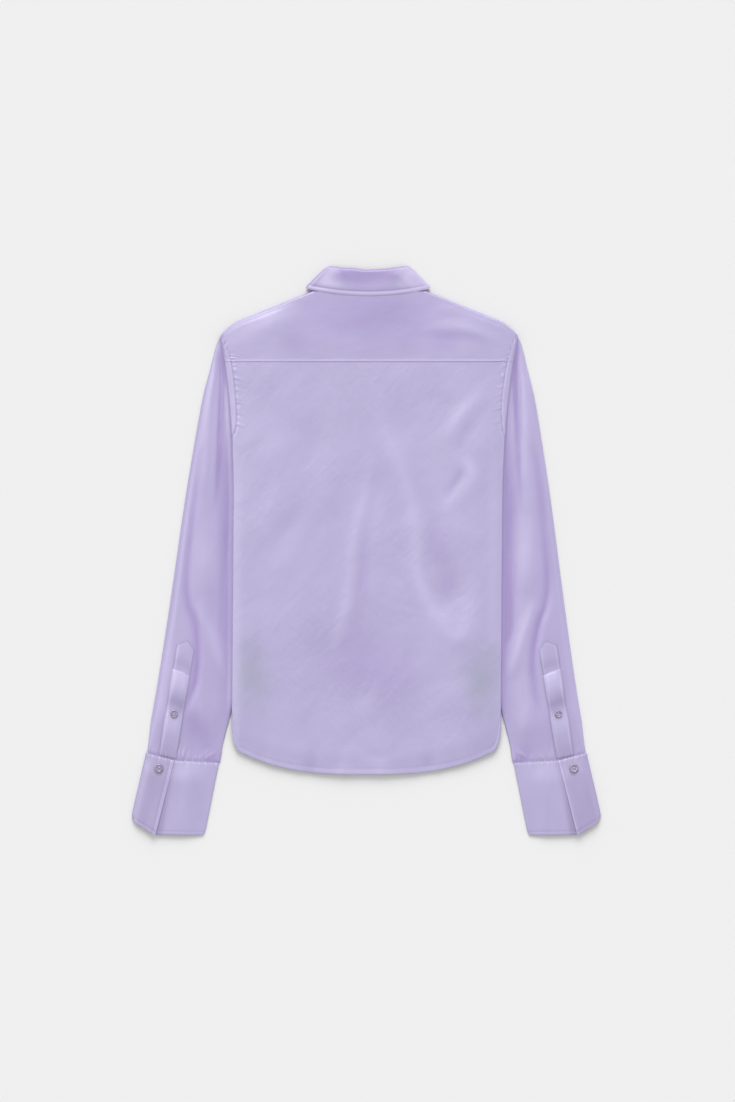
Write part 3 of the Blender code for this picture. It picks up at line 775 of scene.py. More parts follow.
BACK_FOLDS = (
    # long ridge that fans from the yoke's middle and hooks round a hollow
    Fold(12, ((1, 226, 0.0), (10, 197, 0.25), (18, 162, 0.3), (40, 110, 0.5), (57, 63, 0.7), (64, 19, 0.85),
              (63, -11, 0.9), (67, -37, 0.9), (79, -67, 0.9), (95, -98, 0.9), (116, -116, 0.8),
              (134, -100, 0.7), (141, -60, 0.5), (142, -15, 0.0))),
    Fold(20, ((96, 30, 0.0), (103, 0, -0.5), (105, -36, -1.0), (107, -60, -1.2), (112, -76, -0.5), (114, -92, 0.0))),
    # ridge down the middle
    Fold(8, ((10, 128, 0.0), (4, 100, 0.4), (-1, 76, 0.5), (-12, 32, 0.6), (-18, 6, 0.6), (-21, -33, 0.5),
             (-27, -76, 0.5), (-36, -106, 0.4), (-44, -140, 0.0))),
    Fold(11, ((14, 90, 0.0), (4, 50, -0.4), (-4, 6, -0.5), (-7, -36, -0.5), (-14, -80, 0.0))),
    # broad ridges on the left
    Fold(15, ((-46, 122, 0.0), (-60, 88, 0.35), (-73, 54, 0.45), (-99, 2, 0.5), (-125, -33, 0.4), (-140, -62, 0.0))),
    Fold(16, ((-92, 120, 0.0), (-112, 74, 0.4), (-134, 30, 0.4), (-150, -10, 0.0))),
    Fold(13, ((-48, 40, 0.0), (-66, -6, 0.35), (-84, -50, 0.4), (-96, -92, 0.0))),
    # slanting fold beside the right armhole, and its shadow
    Fold(9, ((152, 209, 0.0), (142, 197, 0.5), (125, 182, 0.65), (113, 163, 0.55), (103, 140, 0.0))),
    Fold(10, ((156, 188, 0.0), (142, 172, -0.15), (127, 152, -0.2), (112, 120, 0.0))),
    Fold(13, ((60, 198, 0.0), (92, 194, -0.25), (124, 189, 0.0))),
    # curl below it
    Fold(9, ((122, 122, 0.0), (133, 108, 0.8), (135, 92, 0.7), (124, 74, 0.4), (107, 57, 0.2), (94, 42, 0.0))),
    Fold(6, ((126, 110, 0.0), (119, 97, -0.38), (109, 81, -0.26), (100, 68, 0.0))),
    # broad swells
    Fold(28, ((22, 144, 0.0), (40, 119, 0.5), (56, 92, 0.0))),
    Fold(24, ((-16, -186, 0.0), (1, -202, 0.5), (18, -218, 0.0))),
    Fold(22, ((-150, 96, 0.0), (-120, 130, 0.4), (-90, 150, 0.0))),
    # flattened patches low at the sides
    Fold(15, ((-152, -112, 0.0), (-142, -150, -0.5), (-134, -196, 0.0))),
    Fold(15, ((134, -120, 0.0), (142, -165, -0.5), (138, -206, 0.0))),
    # press creases
    Fold(1.8, ((-42, -24, 0.0), (-72, -50, 0.15), (-98, -72, 0.15), (-116, -93, 0.15), (-129, -122, 0.0))),
    Fold(1.8, ((-6, -46, 0.0), (31, -74, 0.15), (62, -80, 0.15), (88, -91, 0.1), (104, -101, 0.0))),
    Fold(3, ((4, -204, 0.0), (28, -168, 0.12), (52, -138, 0.0))),
    Fold(3.5, ((24, -200, 0.0), (46, -170, 0.15), (68, -142, 0.0))),
    Fold(5, ((-98, -224, 0.0), (-72, -196, 0.2), (-50, -166, 0.0))),
    Fold(6, ((62, -236, 0.0), (92, -206, 0.2), (120, -176, 0.0))),
    Fold(3.5, ((-58, 136, 0.0), (-51, 126, 0.2), (-45, 116, 0.0))),
    # waves along the hem
    Fold(9, ((-74, -292, -0.7), (-71, -274, -0.9), (-62, -246, 0.0))),
    Fold(9, ((-29, -294, 0.7), (-25, -276, 0.7), (-18, -252, 0.0))),
    Fold(9, ((20, -294, 0.7), (23, -276, 0.5), (28, -256, 0.0))),
    Fold(9, ((79, -288, -0.7), (80, -270, -0.9), (88, -242, 0.0))),
    Fold(9, ((124, -280, 0.6), (122, -262, 0.6), (112, -236, 0.0))),
    Fold(9, ((-122, -280, 0.6), (-120, -262, 0.6), (-112, -238, 0.0))),
    Fold(7, ((-12, -262, 0.0), (20, -266, -0.6), (52, -258, 0.0))),
)

# Painted light on the back: strokes of painted highlight, and of painted shade where negative
BACK_PAINTED_LIGHT = (
    # long ridge, its bright bend and the hollow inside it
    Fold(9, ((6, 210, 0.0), (14, 180, 0.1), (26, 145, 0.12), (42, 108, 0.16), (57, 63, 0.22), (64, 19, 0.24),
             (64, -20, 0.3), (72, -52, 0.35), (90, -82, 0.15), (104, -98, 0.0))),
    Fold(17, ((76, -60, 0.0), (92, -84, 0.22), (110, -95, 0.25), (124, -84, 0.2), (134, -50, 0.15), (139, -12, 0.0))),
    Fold(16, ((94, 24, 0.0), (103, -10, -0.1), (106, -36, -0.16), (106, -52, -0.1), (106, -70, 0.0))),
    Fold(15, ((74, 92, 0.0), (84, 50, -0.15), (86, 8, -0.2), (82, -20, 0.0))),
    Fold(26, ((26, 156, 0.0), (50, 122, 0.15), (74, 96, 0.0))),
    # middle ridge and its shadow
    Fold(7, ((2, 92, 0.0), (-4, 64, 0.12), (-13, 30, 0.25), (-19, 0, 0.25), (-22, -36, 0.2), (-29, -80, 0.2),
             (-40, -124, 0.1), (-46, -150, 0.0))),
    Fold(10, ((8, 30, 0.0), (0, 4, -0.12), (-6, -36, -0.2), (-13, -80, -0.1), (-20, -112, 0.0))),
    Fold(24, ((-26, 96, 0.0), (0, 66, 0.25), (24, 40, 0.0))),
    # left
    Fold(15, ((-55, 102, 0.0), (-73, 54, 0.12), (-99, 2, 0.2), (-125, -33, 0.1), (-135, -54, 0.0))),
    Fold(50, ((-70, -60, 0.0), (-30, -130, -0.24), (30, -170, -0.24), (70, -200, 0.0))),
    # slanting fold and curl by the right armhole
    Fold(8, ((150, 203, 0.0), (141, 194, 0.15), (123, 180, 0.3), (108, 150, 0.1), (100, 135, 0.0))),
    Fold(8, ((140, 178, 0.0), (130, 160, -0.08), (120, 142, -0.08), (112, 126, 0.0))),
    Fold(9, ((122, 119, 0.0), (133, 106, 0.4), (135, 94, 0.35), (125, 76, 0.15), (107, 58, 0.15), (94, 44, 0.0))),
    Fold(5, ((125, 109, 0.0), (118, 97, -0.2), (109, 82, -0.13), (101, 70, 0.0))),
    # under the yoke's seam
    Fold(0.9, ((-173, 245.8, -0.32), (173, 245.8, -0.32))),
    # edges
    Fold(8, ((163, 140, 0.0), (163, 80, 0.2), (163, -90, 0.2), (163, -124, 0.0))),
    Fold(6, ((-169, 140, 0.0), (-169, 60, 0.2), (-169, -216, 0.2), (-168, -244, 0.0))),
    Fold(20, ((-22, -202, 0.0), (0, -202, 0.15), (22, -202, 0.0))),
    Fold(30, ((-170, -236, 0.1), (-110, -256, 0.2), (0, -270, 0.2), (110, -256, 0.2), (170, -236, 0.0))),
    Fold(9, ((-52, -290, 0.1), (-28, -286, 0.35), (0, -290, 0.15), (20, -286, 0.3), (46, -290, 0.1))),
    Fold(8, ((-84, -282, 0.0), (-72, -276, -0.25), (-60, -270, 0.0))),
    Fold(8, ((68, -282, 0.0), (80, -272, -0.25), (92, -264, 0.0))),
)

YOKE_FOLDS = (
    # ridge and shadow along the right shoulder
    Fold(8, ((62, 286, 0.0), (90, 291, 0.25), (122, 290, 0.35), (146, 283, 0.2), (164, 274, 0.0))),
    Fold(8, ((66, 274, 0.0), (96, 278, -0.12), (130, 279, -0.12), (156, 271, 0.0))),
    Fold(7, ((80, 316, 0.0), (98, 313, 0.3), (118, 307, 0.0))),
    Fold(11, ((-160, 282, 0.0), (-124, 298, 0.5), (-88, 308, 0.0))),
    # ovals just above the seam
    Fold(13, ((-124, 268, 0.0), (-98, 266, -0.2), (-74, 268, 0.0))),
    Fold(13, ((80, 268, 0.0), (101, 265, -0.2), (124, 268, 0.0))),
)

# Painted highlight and painted shade strokes on the yoke
YOKE_PAINTED_LIGHT = (
    Fold(36, ((-130, 296, 0.0), (-64, 304, -0.26), (0, 300, -0.36), (60, 302, -0.32), (120, 290, 0.0))),
    Fold(13, ((-122, 268, 0.0), (-98, 267, -0.1), (-76, 268, 0.0))),
    Fold(13, ((80, 268, 0.0), (101, 267, -0.1), (124, 268, 0.0))),
    Fold(6, ((66, 288, 0.0), (95, 292, 0.15), (124, 291, 0.3), (148, 285, 0.2), (165, 277, 0.0))),
    Fold(7, ((72, 276, 0.0), (100, 280, -0.15), (140, 277, -0.15), (160, 269, 0.0))),
    Fold(9, ((-176, 282, 0.0), (-140, 300, 0.2), (-100, 318, 0.1), (-80, 326, 0.0))),
)

# The armhole's seam lies inside the edge: its distance from the edge
SEAM_BAND = (
    # y, width on the left, width on the right
    (279.0, 0.6, 0.6),
    (275.0, 2.4, 3.2),
    (262.0, 6.2, 6.0),
    (248.0, 9.0, 7.6),
    (225.0, 9.6, 8.6),
    (200.0, 9.6, 9.0),
    (178.0, 8.8, 7.6),
    (162.0, 7.0, 5.0),
    (150.0, 3.0, 2.0),
)


def band_width(y: Array, side: Array) -> Array:
    """Width of the sleeve head's band at points along the armhole, in metres.

    Args:
        y: Points' Y.
        side: Their side, -1 or 1.

    Returns:
        Widths, 0 below the underarm.
    """
    rows = SEAM_BAND[::-1]
    ys = [row[0] * MM for row in rows]
    left = np.interp(y, ys, [row[1] * MM for row in rows], left=0.0)
    right = np.interp(y, ys, [row[2] * MM for row in rows], left=0.0)
    return np.where(side < 0, left, right)


def puckers(x: Array, y: Array) -> Array:
    """Small gathers that run inboard from the armhole's seam.

    Args:
        x: Points' X, without the shirt's lean.
        y: Points' Y.

    Returns:
        Heights, in metres.
    """
    side = np.sign(x)
    inboard = FORM.half(y) - abs(x) - band_width(y, side)
    phase = y * 1000 / 5.6 + 0.35 * np.sin(y * 120 + side) + 0.3 * np.sin(y * 530 + 2 * side) + 0.35 * side + 45 * inboard
    wave = np.clip(np.cos(2 * math.pi * phase), -0.6, 1.0) * (0.75 + 0.35 * np.sin(y * 730 - side))
    length = 3.8 * MM * (1 + 0.5 * np.sin(y * 410 + 2 * side))
    fade = smooth(y, 0.145, 0.160) * smooth(y, 0.268, 0.250)
    shape = smooth(inboard, -0.0010, 0.0012) * np.exp(-np.maximum(0.0, inboard) / length)
    groove, ridge = armhole_seam(x, y)
    return 0.0007 * wave * shape * fade - 0.0006 * groove + 0.0005 * ridge


def armhole_seam(x: Array, y: Array) -> tuple[Array, Array]:
    """Shares of the groove of the armhole's seam, and of the ridge just outside it."""
    outboard = band_width(y, np.sign(x)) - (FORM.half(y) - abs(x))
    shown = smooth(y, 0.143, 0.156) * smooth(y, 0.282, 0.272)
    return bell(outboard, 0.0010) * shown, bell(outboard - 0.0022, 0.0013) * shown


def with_painted_seam(base: Sheen) -> Sheen:
    """The same painted light, with painted shade in the armhole's groove, painted highlight on its ridge and painted
    highlight dots inboard.
    """

    def sheen(x: Array, y: Array, u: Array, v: Array) -> Array:
        """Painted light at points."""
        groove, ridge = armhole_seam(x, y)
        inboard = FORM.half(y) - abs(x) - band_width(y, np.sign(x))
        dot_highlights = bell(inboard - 0.0020, 0.0013) * smooth(y, 0.143, 0.156) * smooth(y, 0.282, 0.272)
        return base(x, y, u, v) + 0.35 * ridge - 0.5 * groove + 0.22 * dot_highlights * (0.6 + 0.4 * np.sin(y * 1122))

    return sheen


@dataclass(frozen=True)
class BackPanel:
    """The back below the yoke, with its sides turned in and its shirt-tail hem."""

    finish: SatinFinish
    wall: float = 0.0005
    across: int = 196
    along: int = 228
    flat_share: float = 0.86
    edge_curl: float = 0.0019
    yoke_edge: float = 0.2464
    crown: float = 0.0016
    crown_reach: float = 0.011
    hem_width: float = 0.0052
    stations: tuple[tuple[float, float], ...] = (
        # share of the rows, y
        (0.0, 0.2500),
        (0.04, 0.2455),
        (0.31, 0.150),
        (1.0, -0.290),
    )

    def top(self, x: Array, y: Array, cut_x: Array) -> Array:
        """Outer face of the panel.

        Args:
            x: Points' X without the lean.
            y: Their Y.
            cut_x: Their distance from the centre along the cloth.

        Returns:
            Heights.
        """
        edge = np.maximum(0.0, FORM.half(y) - abs(x))
        hem = np.maximum(0.0, y - FORM.hem(abs(cut_x))) / np.hypot(1.0, FORM.hem_slope(abs(cut_x)))
        z = FORM.back_face(x, y)
        z = z + self.crown * (1 - np.exp(-edge / self.crown_reach)) * smooth(hem, 0.0, 0.03)
        z = z + creased(x, y, BACK_FOLDS) * smooth(edge, 0.001, 0.010) + puckers(x, y)
        z = z - 0.00045 * bell(hem - self.hem_width, 0.0011) - 0.0003 * bell(hem, 0.0008)
        z = z + 0.00022 * bell(hem - 0.4 * self.hem_width, 0.0018)
        return z - 0.0005 * smooth(y, self.yoke_edge, self.yoke_edge + 0.0010)

    def place(self, u: Array, v: Array) -> tuple[Array, Array, Array]:
        """Where the sheet's points go."""
        side = np.where(u < 0.5, -1.0, 1.0)
        shares, levels = zip(*self.stations)
        y = np.interp(v, shares, levels)
        half, tuck = FORM.half(y), np.maximum(FORM.tuck_at(y), self.edge_curl)
        s = side_columns(abs(2 * u - 1), half, tuck, FORM.roll, self.flat_share)
        reach, depth, angle = rolled(s, half, tuck, FORM.roll)
        x = side * reach
        lay = FORM.hem_blend(y, s)
        flat = self.top(x, lay, s)
        edge = self.top(side * half, lay, s)
        z = np.where(angle > 0, edge, flat) - depth
        return x, lay, z

    def build(self, wardrobe: Wardrobe) -> bpy.types.Object:
        """Make the panel."""
        cut = Cut(2 * (FORM.side + FORM.tuck), FORM.yoke_y - FORM.hem_low_y, 0.2170)
        size = (cut.width, cut.length)
        bm = wardrobe.sheet(self.across, self.along, self.place, size, with_painted_seam(painted_light_by(BACK_PAINTED_LIGHT, BACK_FOLDS)))
        made = wardrobe.cloth("back_cloth", bm, self.finish.material(), self.wall)
        wardrobe.declare(made, "back", "satin", cut, ["front_left", "front_right"])
        return made


@dataclass(frozen=True)
class Yoke:
    """The yoke, from the seam across the back over the shoulder fold to the seams of the fronts."""

    finish: SatinFinish
    wall: float = 0.0005
    across: int = 190
    along: int = 84
    lift: float = 0.00025
    lap: float = 0.0016
    neck_half: float = 0.072
    neck_back_y: float = 0.337

    def top(self, x: Array, y: Array) -> Array:
        """Outer face of the yoke on the back."""
        seam = np.maximum(0.0, y - FORM.yoke_y + self.lap)
        edge = np.maximum(0.0, FORM.half(y) - abs(x))
        from_neck = smooth(np.hypot(x / 0.150, (y - 0.350) / 0.085), 0.35, 1.1)
        from_shoulder = smooth(FORM.shoulder(x) - y, 0.0, 0.034)
        crown = 0.0016 * (1 - np.exp(-edge / 0.011)) * from_neck * (0.3 + 0.7 * from_shoulder)
        z = FORM.back_face(x, y) + self.lift + crown
        z = z + creased(x, y, YOKE_FOLDS) * smooth(edge, 0.001, 0.010) + puckers(x, y)
        return z + 0.00025 * bell(seam, 0.0017)

    def place(self, u: Array, v: Array) -> tuple[Array, Array, Array]:
        """Where the sheet's points go."""
        share = 2 * u - 1
        fold_x = share * FORM.half(np.float64(FORM.tip_y))
        neck = abs(fold_x) < self.neck_half
        v = np.where(neck, np.minimum(v, 0.66), v)
        seam_x = share * FORM.half(np.float64(FORM.yoke_y))
        top_y = FORM.shoulder(fold_x)
        low = FORM.front_face(fold_x, top_y)
        high = FORM.back_face(fold_x, top_y) + 0.0003
        radius = (high - low) / 2
        flat_end = np.where(neck, self.neck_back_y, top_y - radius)
        up = np.clip(v / 0.66, 0.0, 1.0) ** 1.3
        angle = math.pi * np.clip((v - 0.66) / 0.14, 0.0, 1.0)
        down = np.clip((v - 0.80) / 0.20, 0.0, 1.0)
        x = mix(seam_x, fold_x, up)
        y = mix(FORM.yoke_y - self.lap, flat_end, up) + radius * np.sin(angle)
        last_y = FORM.front_seam(fold_x)
        x = mix(x, share * FORM.half(last_y), down)
        y = np.where(down > 0, mix(flat_end, FORM.front_seam(x), down), y)
        z = self.top(x, y)
        settle = smooth(flat_end - y, 0.0, 0.006)
        z = mix(high, z, settle)
        z = np.where(angle > 0, (high + low) / 2 + radius * np.cos(angle), z)
        z = np.where(down > 0, FORM.front_face(x, y), z)
        edge = np.maximum(0.0, FORM.half(y) - abs(x)) / 0.0013
        curl = 0.0013 * (1 - np.sqrt(np.clip(1 - (1 - np.minimum(edge, 1.0)) ** 2, 0.0, 1.0)))
        return x, y, z - np.where((angle > 0) | neck, 0.0, curl)

    def build(self, wardrobe: Wardrobe) -> bpy.types.Object:
        """Make the yoke."""
        cut = Cut(2 * FORM.tip_half, 0.128, 0.0370)
        size = (cut.width, cut.length)
        bm = wardrobe.sheet(self.across, self.along, self.place, size, with_painted_seam(painted_light_by(YOKE_PAINTED_LIGHT, YOKE_FOLDS)))
        made = wardrobe.cloth("yoke_cloth", bm, self.finish.material(), self.wall, True, True)
        wardrobe.declare(made, "yoke", "satin", cut, ["back_cloth"])
        return made


@dataclass(frozen=True)
class FrontPanel:
    """One front, hidden below the back, with its side turned in."""

    side: Side
    finish: SatinFinish
    wall: float = 0.0006
    across: int = 74
    along: int = 96
    flat_share: float = 0.80
    lap_half: float = 0.015
    neck_half: float = 0.072
    neck_y: float = 0.338
    neck_depth: float = 0.076

    @property
    def lap(self) -> int:
        """1 for the outer front, 2 for the one inside."""
        return 1 if self.side is Side.RIGHT else 2

    def place(self, u: Array, v: Array) -> tuple[Array, Array, Array]:
        """Where the sheet's points go."""
        first_y = 0.225
        y = np.interp(v, (0.0, 0.18, 1.0), (first_y, first_y, FORM.hem_low_y))
        half = FORM.half(y) - FORM.front_inset
        tuck = FORM.tuck_at(y) * (1 - FORM.front_inset / FORM.tuck)
        past_centre = 0.06
        a = np.clip((u - past_centre) / (1 - past_centre), 0.0, 1.0)
        s = side_columns(a, half, tuck, FORM.roll, self.flat_share)
        reach, depth, angle = rolled(s, half, tuck, FORM.roll)
        reach = np.where(u < past_centre, -self.lap_half * (1 - u / past_centre), reach)
        neck = 1 - 0.999 * np.sqrt(np.clip(1 - (reach / self.neck_half) ** 2, 0.0, 1.0))
        neck_y = self.neck_y - self.neck_depth + self.neck_depth * neck
        neck_y = np.where(abs(reach) < self.neck_half, neck_y, 1.0)
        highest = np.minimum(FORM.front_seam(reach) - 0.0003, neck_y)
        top_y = mix(highest, first_y, np.clip(v / 0.18, 0.0, 1.0))
        lay = np.where(v < 0.18, top_y, FORM.hem_blend(y, np.maximum(s, self.lap_half) + FORM.front_inset))
        flat = FORM.front_face(reach, lay, self.lap)
        edge = FORM.front_face(half, lay, self.lap)
        room = FORM.back_face(half, lay) - FORM.wall - FORM.pitch - FORM.wall - FORM.pitch - FORM.gap
        meet = (room - 2 * FORM.gap) / 2 * smooth(y, 0.0, -0.08)
        strip = smooth((s - half) / np.maximum(tuck, MM), 0.7, 1.0)
        z = np.where(angle > 0, edge, flat) + depth + meet * strip * (angle > 3)
        return self.side.value * reach, lay, z

    def build(self, wardrobe: Wardrobe) -> bpy.types.Object:
        """Make the front."""
        cut = Cut(0.2318, 0.6080, 0.1182)
        bm = wardrobe.sheet(self.across, self.along, self.place, (cut.width, cut.length))
        turned = self.side is Side.RIGHT
        name = f"front_cloth_{self.side.word}"
        made = wardrobe.cloth(name, bm, self.finish.material(), self.wall, flip=turned)
        wardrobe.declare(made, f"front_{self.side.word}", "satin", cut)
        return made


# ---------------------------------------------------------------------------------------------
# Collar


@dataclass(frozen=True)
class CollarBand:
    """One of the collar's two bands, which lies in a flat loop round the neck.

    Attributes:
        name: The band's name, fall or stand.
        finish: Its cloth.
        fold: X and Y of the fold's corner.
        edge: X and Y of the lower edge's corner.
        fold_rise: How much lower the fold is at its corner than at its middle, where negative.
        edge_rise: How much lower the edge is at its middle.
        high: Height of its outer face on the back.
        low: Height of its outer face on the front.
        wall: Its thickness.
    """

    name: str
    finish: SatinFinish
    fold: tuple[float, float]
    edge: tuple[float, float]
    fold_rise: float
    edge_rise: float
    high: float
    low: float
    wall: float
    cut: Cut
    across: int = 230
    along: int = 34
    end_roll: float = 0.0012
    corner_round: float = 0.0042
    aside: float = 0.0018

    BACK_SHARE = 0.42
    FOLD_SHARE = 0.06
    FRONT_DEPTH = 0.077

    def front_rib(self, t: Array) -> tuple[Array, Array, Array, Array, Array]:
        """Fold X and Y, edge X and Y and height, from the side fold to the band's end."""
        angle = math.radians(80) * t
        x = self.fold[0] * np.cos(angle)
        y = self.fold[1] - self.FRONT_DEPTH * np.sin(angle)
        edge_x = mix(self.edge[0], 0.056, t) + 0.004 * np.sin(math.pi * t)
        return x, y, edge_x, mix(self.edge[1], 0.238, t), np.full_like(t, self.low)

    def rib(self, a: Array) -> tuple[Array, Array, Array, Array, Array]:
        """A rib across the band, by its share from the middle of the back to the band's end."""
        w = np.clip(a / self.BACK_SHARE, 0.0, 1.0)
        fold_x, fold_y = w * self.fold[0], self.fold[1] - self.fold_rise * (1 - w**1.7)
        edge_x, edge_y = w * self.edge[0], self.edge[1] - self.edge_rise * (1 - w * w)
        span = math.dist(self.fold, self.edge)
        out_x = (self.fold[1] - self.edge[1]) / span
        out_y = (self.edge[0] - self.fold[0]) / span
        angle = math.pi * np.clip((a - self.BACK_SHARE) / self.FOLD_SHARE, 0.0, 1.0)
        radius = (self.high - self.low) / 2
        reach = radius * np.sin(angle)
        z = (self.high + self.low) / 2 + radius * np.cos(angle)
        z = z - self.end_roll * bell(np.maximum(0.0, self.BACK_SHARE - a), 0.085) * (angle < math.pi / 2)
        t = np.clip((a - self.BACK_SHARE - self.FOLD_SHARE) / (1 - self.BACK_SHARE - self.FOLD_SHARE), 0, 1)
        front = self.front_rib(t)
        back = (fold_x + reach * out_x, fold_y + 0.25 * reach * out_y,
                edge_x + reach * out_x, edge_y + reach * out_y, z)
        return tuple(np.where(t > 0, f, b) for f, b in zip(front, back))

    def relief(self, x: Array, y: Array, t: Array, span: Array, a: Array) -> Array:
        """Height of the band's creases and edges over its face."""
        return np.zeros_like(x)

    def place(self, u: Array, v: Array) -> tuple[Array, Array, Array]:
        """Where the sheet's points go."""
        side = np.where(u < 0.5, -1.0, 1.0)
        a = abs(2 * u - 1)
        fold_x, fold_y, edge_x, edge_y, z = self.rib(a)
        span = np.hypot(edge_x - fold_x, edge_y - fold_y)
        corner = bell(a - self.BACK_SHARE - 0.3 * self.FOLD_SHARE, 0.060) * np.exp(-v * span / 0.0050)
        x = side * (mix(fold_x, edge_x, v) - self.corner_round * corner) - self.aside
        y = mix(fold_y, edge_y, v) - 0.25 * self.corner_round * corner
        y = y + 0.0011 * bell(x + 0.021, 0.008) * np.exp(-v * span / 0.006) * (a < self.BACK_SHARE)
        on_back = smooth(a, self.BACK_SHARE + 0.5 * self.FOLD_SHARE, self.BACK_SHARE)
        outward = np.where(a > self.BACK_SHARE + 0.5 * self.FOLD_SHARE, -1.0, 1.0)
        rise = self.relief(x, y, v, span, a)
        z = z + rise * np.where(outward > 0, on_back, 0.0)
        return x, y, z

    def build(self, wardrobe: Wardrobe) -> bpy.types.Object:
        """Make the band."""
        size = (self.cut.width, self.cut.length)
        bm = wardrobe.sheet(self.across, self.along, self.place, size, painted_light_by(FALL_PAINTED_LIGHT, FALL_FOLDS))
        made = wardrobe.cloth(f"collar_{self.name}_cloth", bm, self.finish.material(), self.wall)
        wardrobe.declare(made, f"collar_{self.name}", "satin_collar", self.cut, ["yoke_cloth"])
        return made


FALL_FOLDS = (
    Fold(6, ((-47, 367, 0.0), (-38, 360, 0.5), (-33, 350, 0.3), (-30, 342, 0.0))),
    Fold(5, ((26, 364, 0.0), (38, 358, 0.5), (50, 349, 0.4), (58, 340, 0.0))),
    Fold(5, ((36, 367, 0.0), (48, 360, 0.4), (60, 350, 0.0))),
    Fold(5, ((-64, 346, 0.0), (-42, 342, 0.3), (-18, 339, 0.0))),
    Fold(9, ((-26, 358, 0.0), (4, 356, -0.5), (30, 359, 0.0))),
    Fold(10, ((38, 374, 0.4), (54, 361, 1.0), (72, 346, 0.4))),
)

# Painted highlight and painted shade strokes on the collar's bands
FALL_PAINTED_LIGHT = (
    Fold(10, ((-44, 368, -0.3), (-32, 361, -0.6), (-12, 356, -0.6), (10, 355, -0.5), (30, 360, -0.4), (42, 368, -0.3))),
    Fold(10, ((-68, 350, 0.0), (-55, 349, 0.25), (-40, 343, 0.15), (-18, 340, 0.0))),
    Fold(12, ((34, 346, 0.0), (48, 352, 0.5), (60, 352, 1.0), (74, 345, 0.6))),
    Fold(2.2, ((-76, 342, 0.5), (-40, 336.5, 0.5), (0, 334, 0.5), (40, 336.5, 0.5), (76, 342, 0.5))),
    Fold(1, ((-76, 345.7, -0.3), (-40, 339.7, -0.4), (0, 337.4, -0.4), (40, 339.7, -0.4), (76, 345.7, -0.3))),
    Fold(2.5, ((-46, 368, 0.0), (-24, 364, -0.5), (0, 363, -0.6), (24, 364, -0.5), (46, 368, 0.0))),
)


class CollarFall(CollarBand):
    """The collar's outer band, with a rolled top and a stitched edge."""

    roll_radius = 0.0030

    def relief(self, x: Array, y: Array, t: Array, span: Array, a: Array) -> Array:
        """Height of the creases, the roll at the fold and the stitched edge."""
        from_fold = t * span
        from_edge = (1 - t) * span
        bend = 1 - np.minimum(from_fold / self.roll_radius, 1.0)
        roll = -self.roll_radius * (1 - np.sqrt(1 - bend**2)) - 0.0009 * np.exp(-from_fold / 0.006)
        stitch = -0.0002 * bell(from_edge - 0.0060, 0.0009)
        band = 0.0002 * bell(from_edge - 0.0030, 0.0024) - 0.0004 * bell(from_edge, 0.0010)
        settle = -0.0006 * smooth(from_edge, 0.012, 0.0)
        return roll + stitch + band + settle + creased(x, y, FALL_FOLDS)


class CollarStand(CollarBand):
    """The collar's inner band, which closes at the front."""

    def front_rib(self, t: Array) -> tuple[Array, Array, Array, Array, Array]:
        """Fold X and Y, edge X and Y and height, from the side fold past the centre."""
        angle = math.radians(100) * t
        x = self.fold[0] * np.cos(angle)
        y = self.fold[1] - self.FRONT_DEPTH * np.sin(angle)
        half = mix(self.edge[0], 0.0717, np.minimum(1.0, 4 * t))
        seam_x = half * np.cos(angle)
        seam_y = 0.338 - 0.0757 * np.sin(angle)
        z = mix(self.low, self.low + 0.0012, smooth(angle, math.radians(40), math.radians(78)))
        return x, y, seam_x, mix(self.edge[1], seam_y, np.minimum(1.0, 8 * t)), z

    def place(self, u: Array, v: Array) -> tuple[Array, Array, Array]:
        """Where the sheet's points go, the side on the left above the other where they lap."""
        x, y, z = super().place(u, v)
        end = smooth(abs(2 * u - 1), 0.70, 0.86)
        return x, y, z + np.where(u < 0.5, FORM.pitch, 0.0) * end


# ---------------------------------------------------------------------------------------------
# Sleeves

SLEEVE_SECTIONS = (
    # outer x, outer y, inner x, inner y, share of the armhole's line
    (190.6, 280.5, 122.0, 59.0, 1.00),
    (198.0, 266.0, 125.0, 45.0, 0.92),
    (205.5, 236.0, 129.5, 25.0, 0.78),
    (214.0, 203.0, 134.0, 2.0, 0.60),
    (220.0, 171.0, 138.5, -23.0, 0.42),
    (226.0, 135.0, 143.0, -48.0, 0.26),
    (233.5, 88.0, 148.0, -75.0, 0.12),
    (240.5, 40.0, 154.0, -104.0, 0.04),
    (247.5, -12.0, 160.5, -134.0, 0.00),
    (255.0, -67.0, 167.0, -165.0, 0.00),
    (262.5, -120.0, 173.5, -195.0, 0.00),
    (270.5, -173.0, 180.8, -224.0, 0.00),
    (278.5, -220.0, 187.5, -250.0, 0.00),
    (286.2, -262.3, 193.4, -275.3, 0.00),
)

CUFF_SEAM = (
    # x, y
    (193.0, -275.3),
    (249.5, -272.0),
    (286.2, -262.3),
)

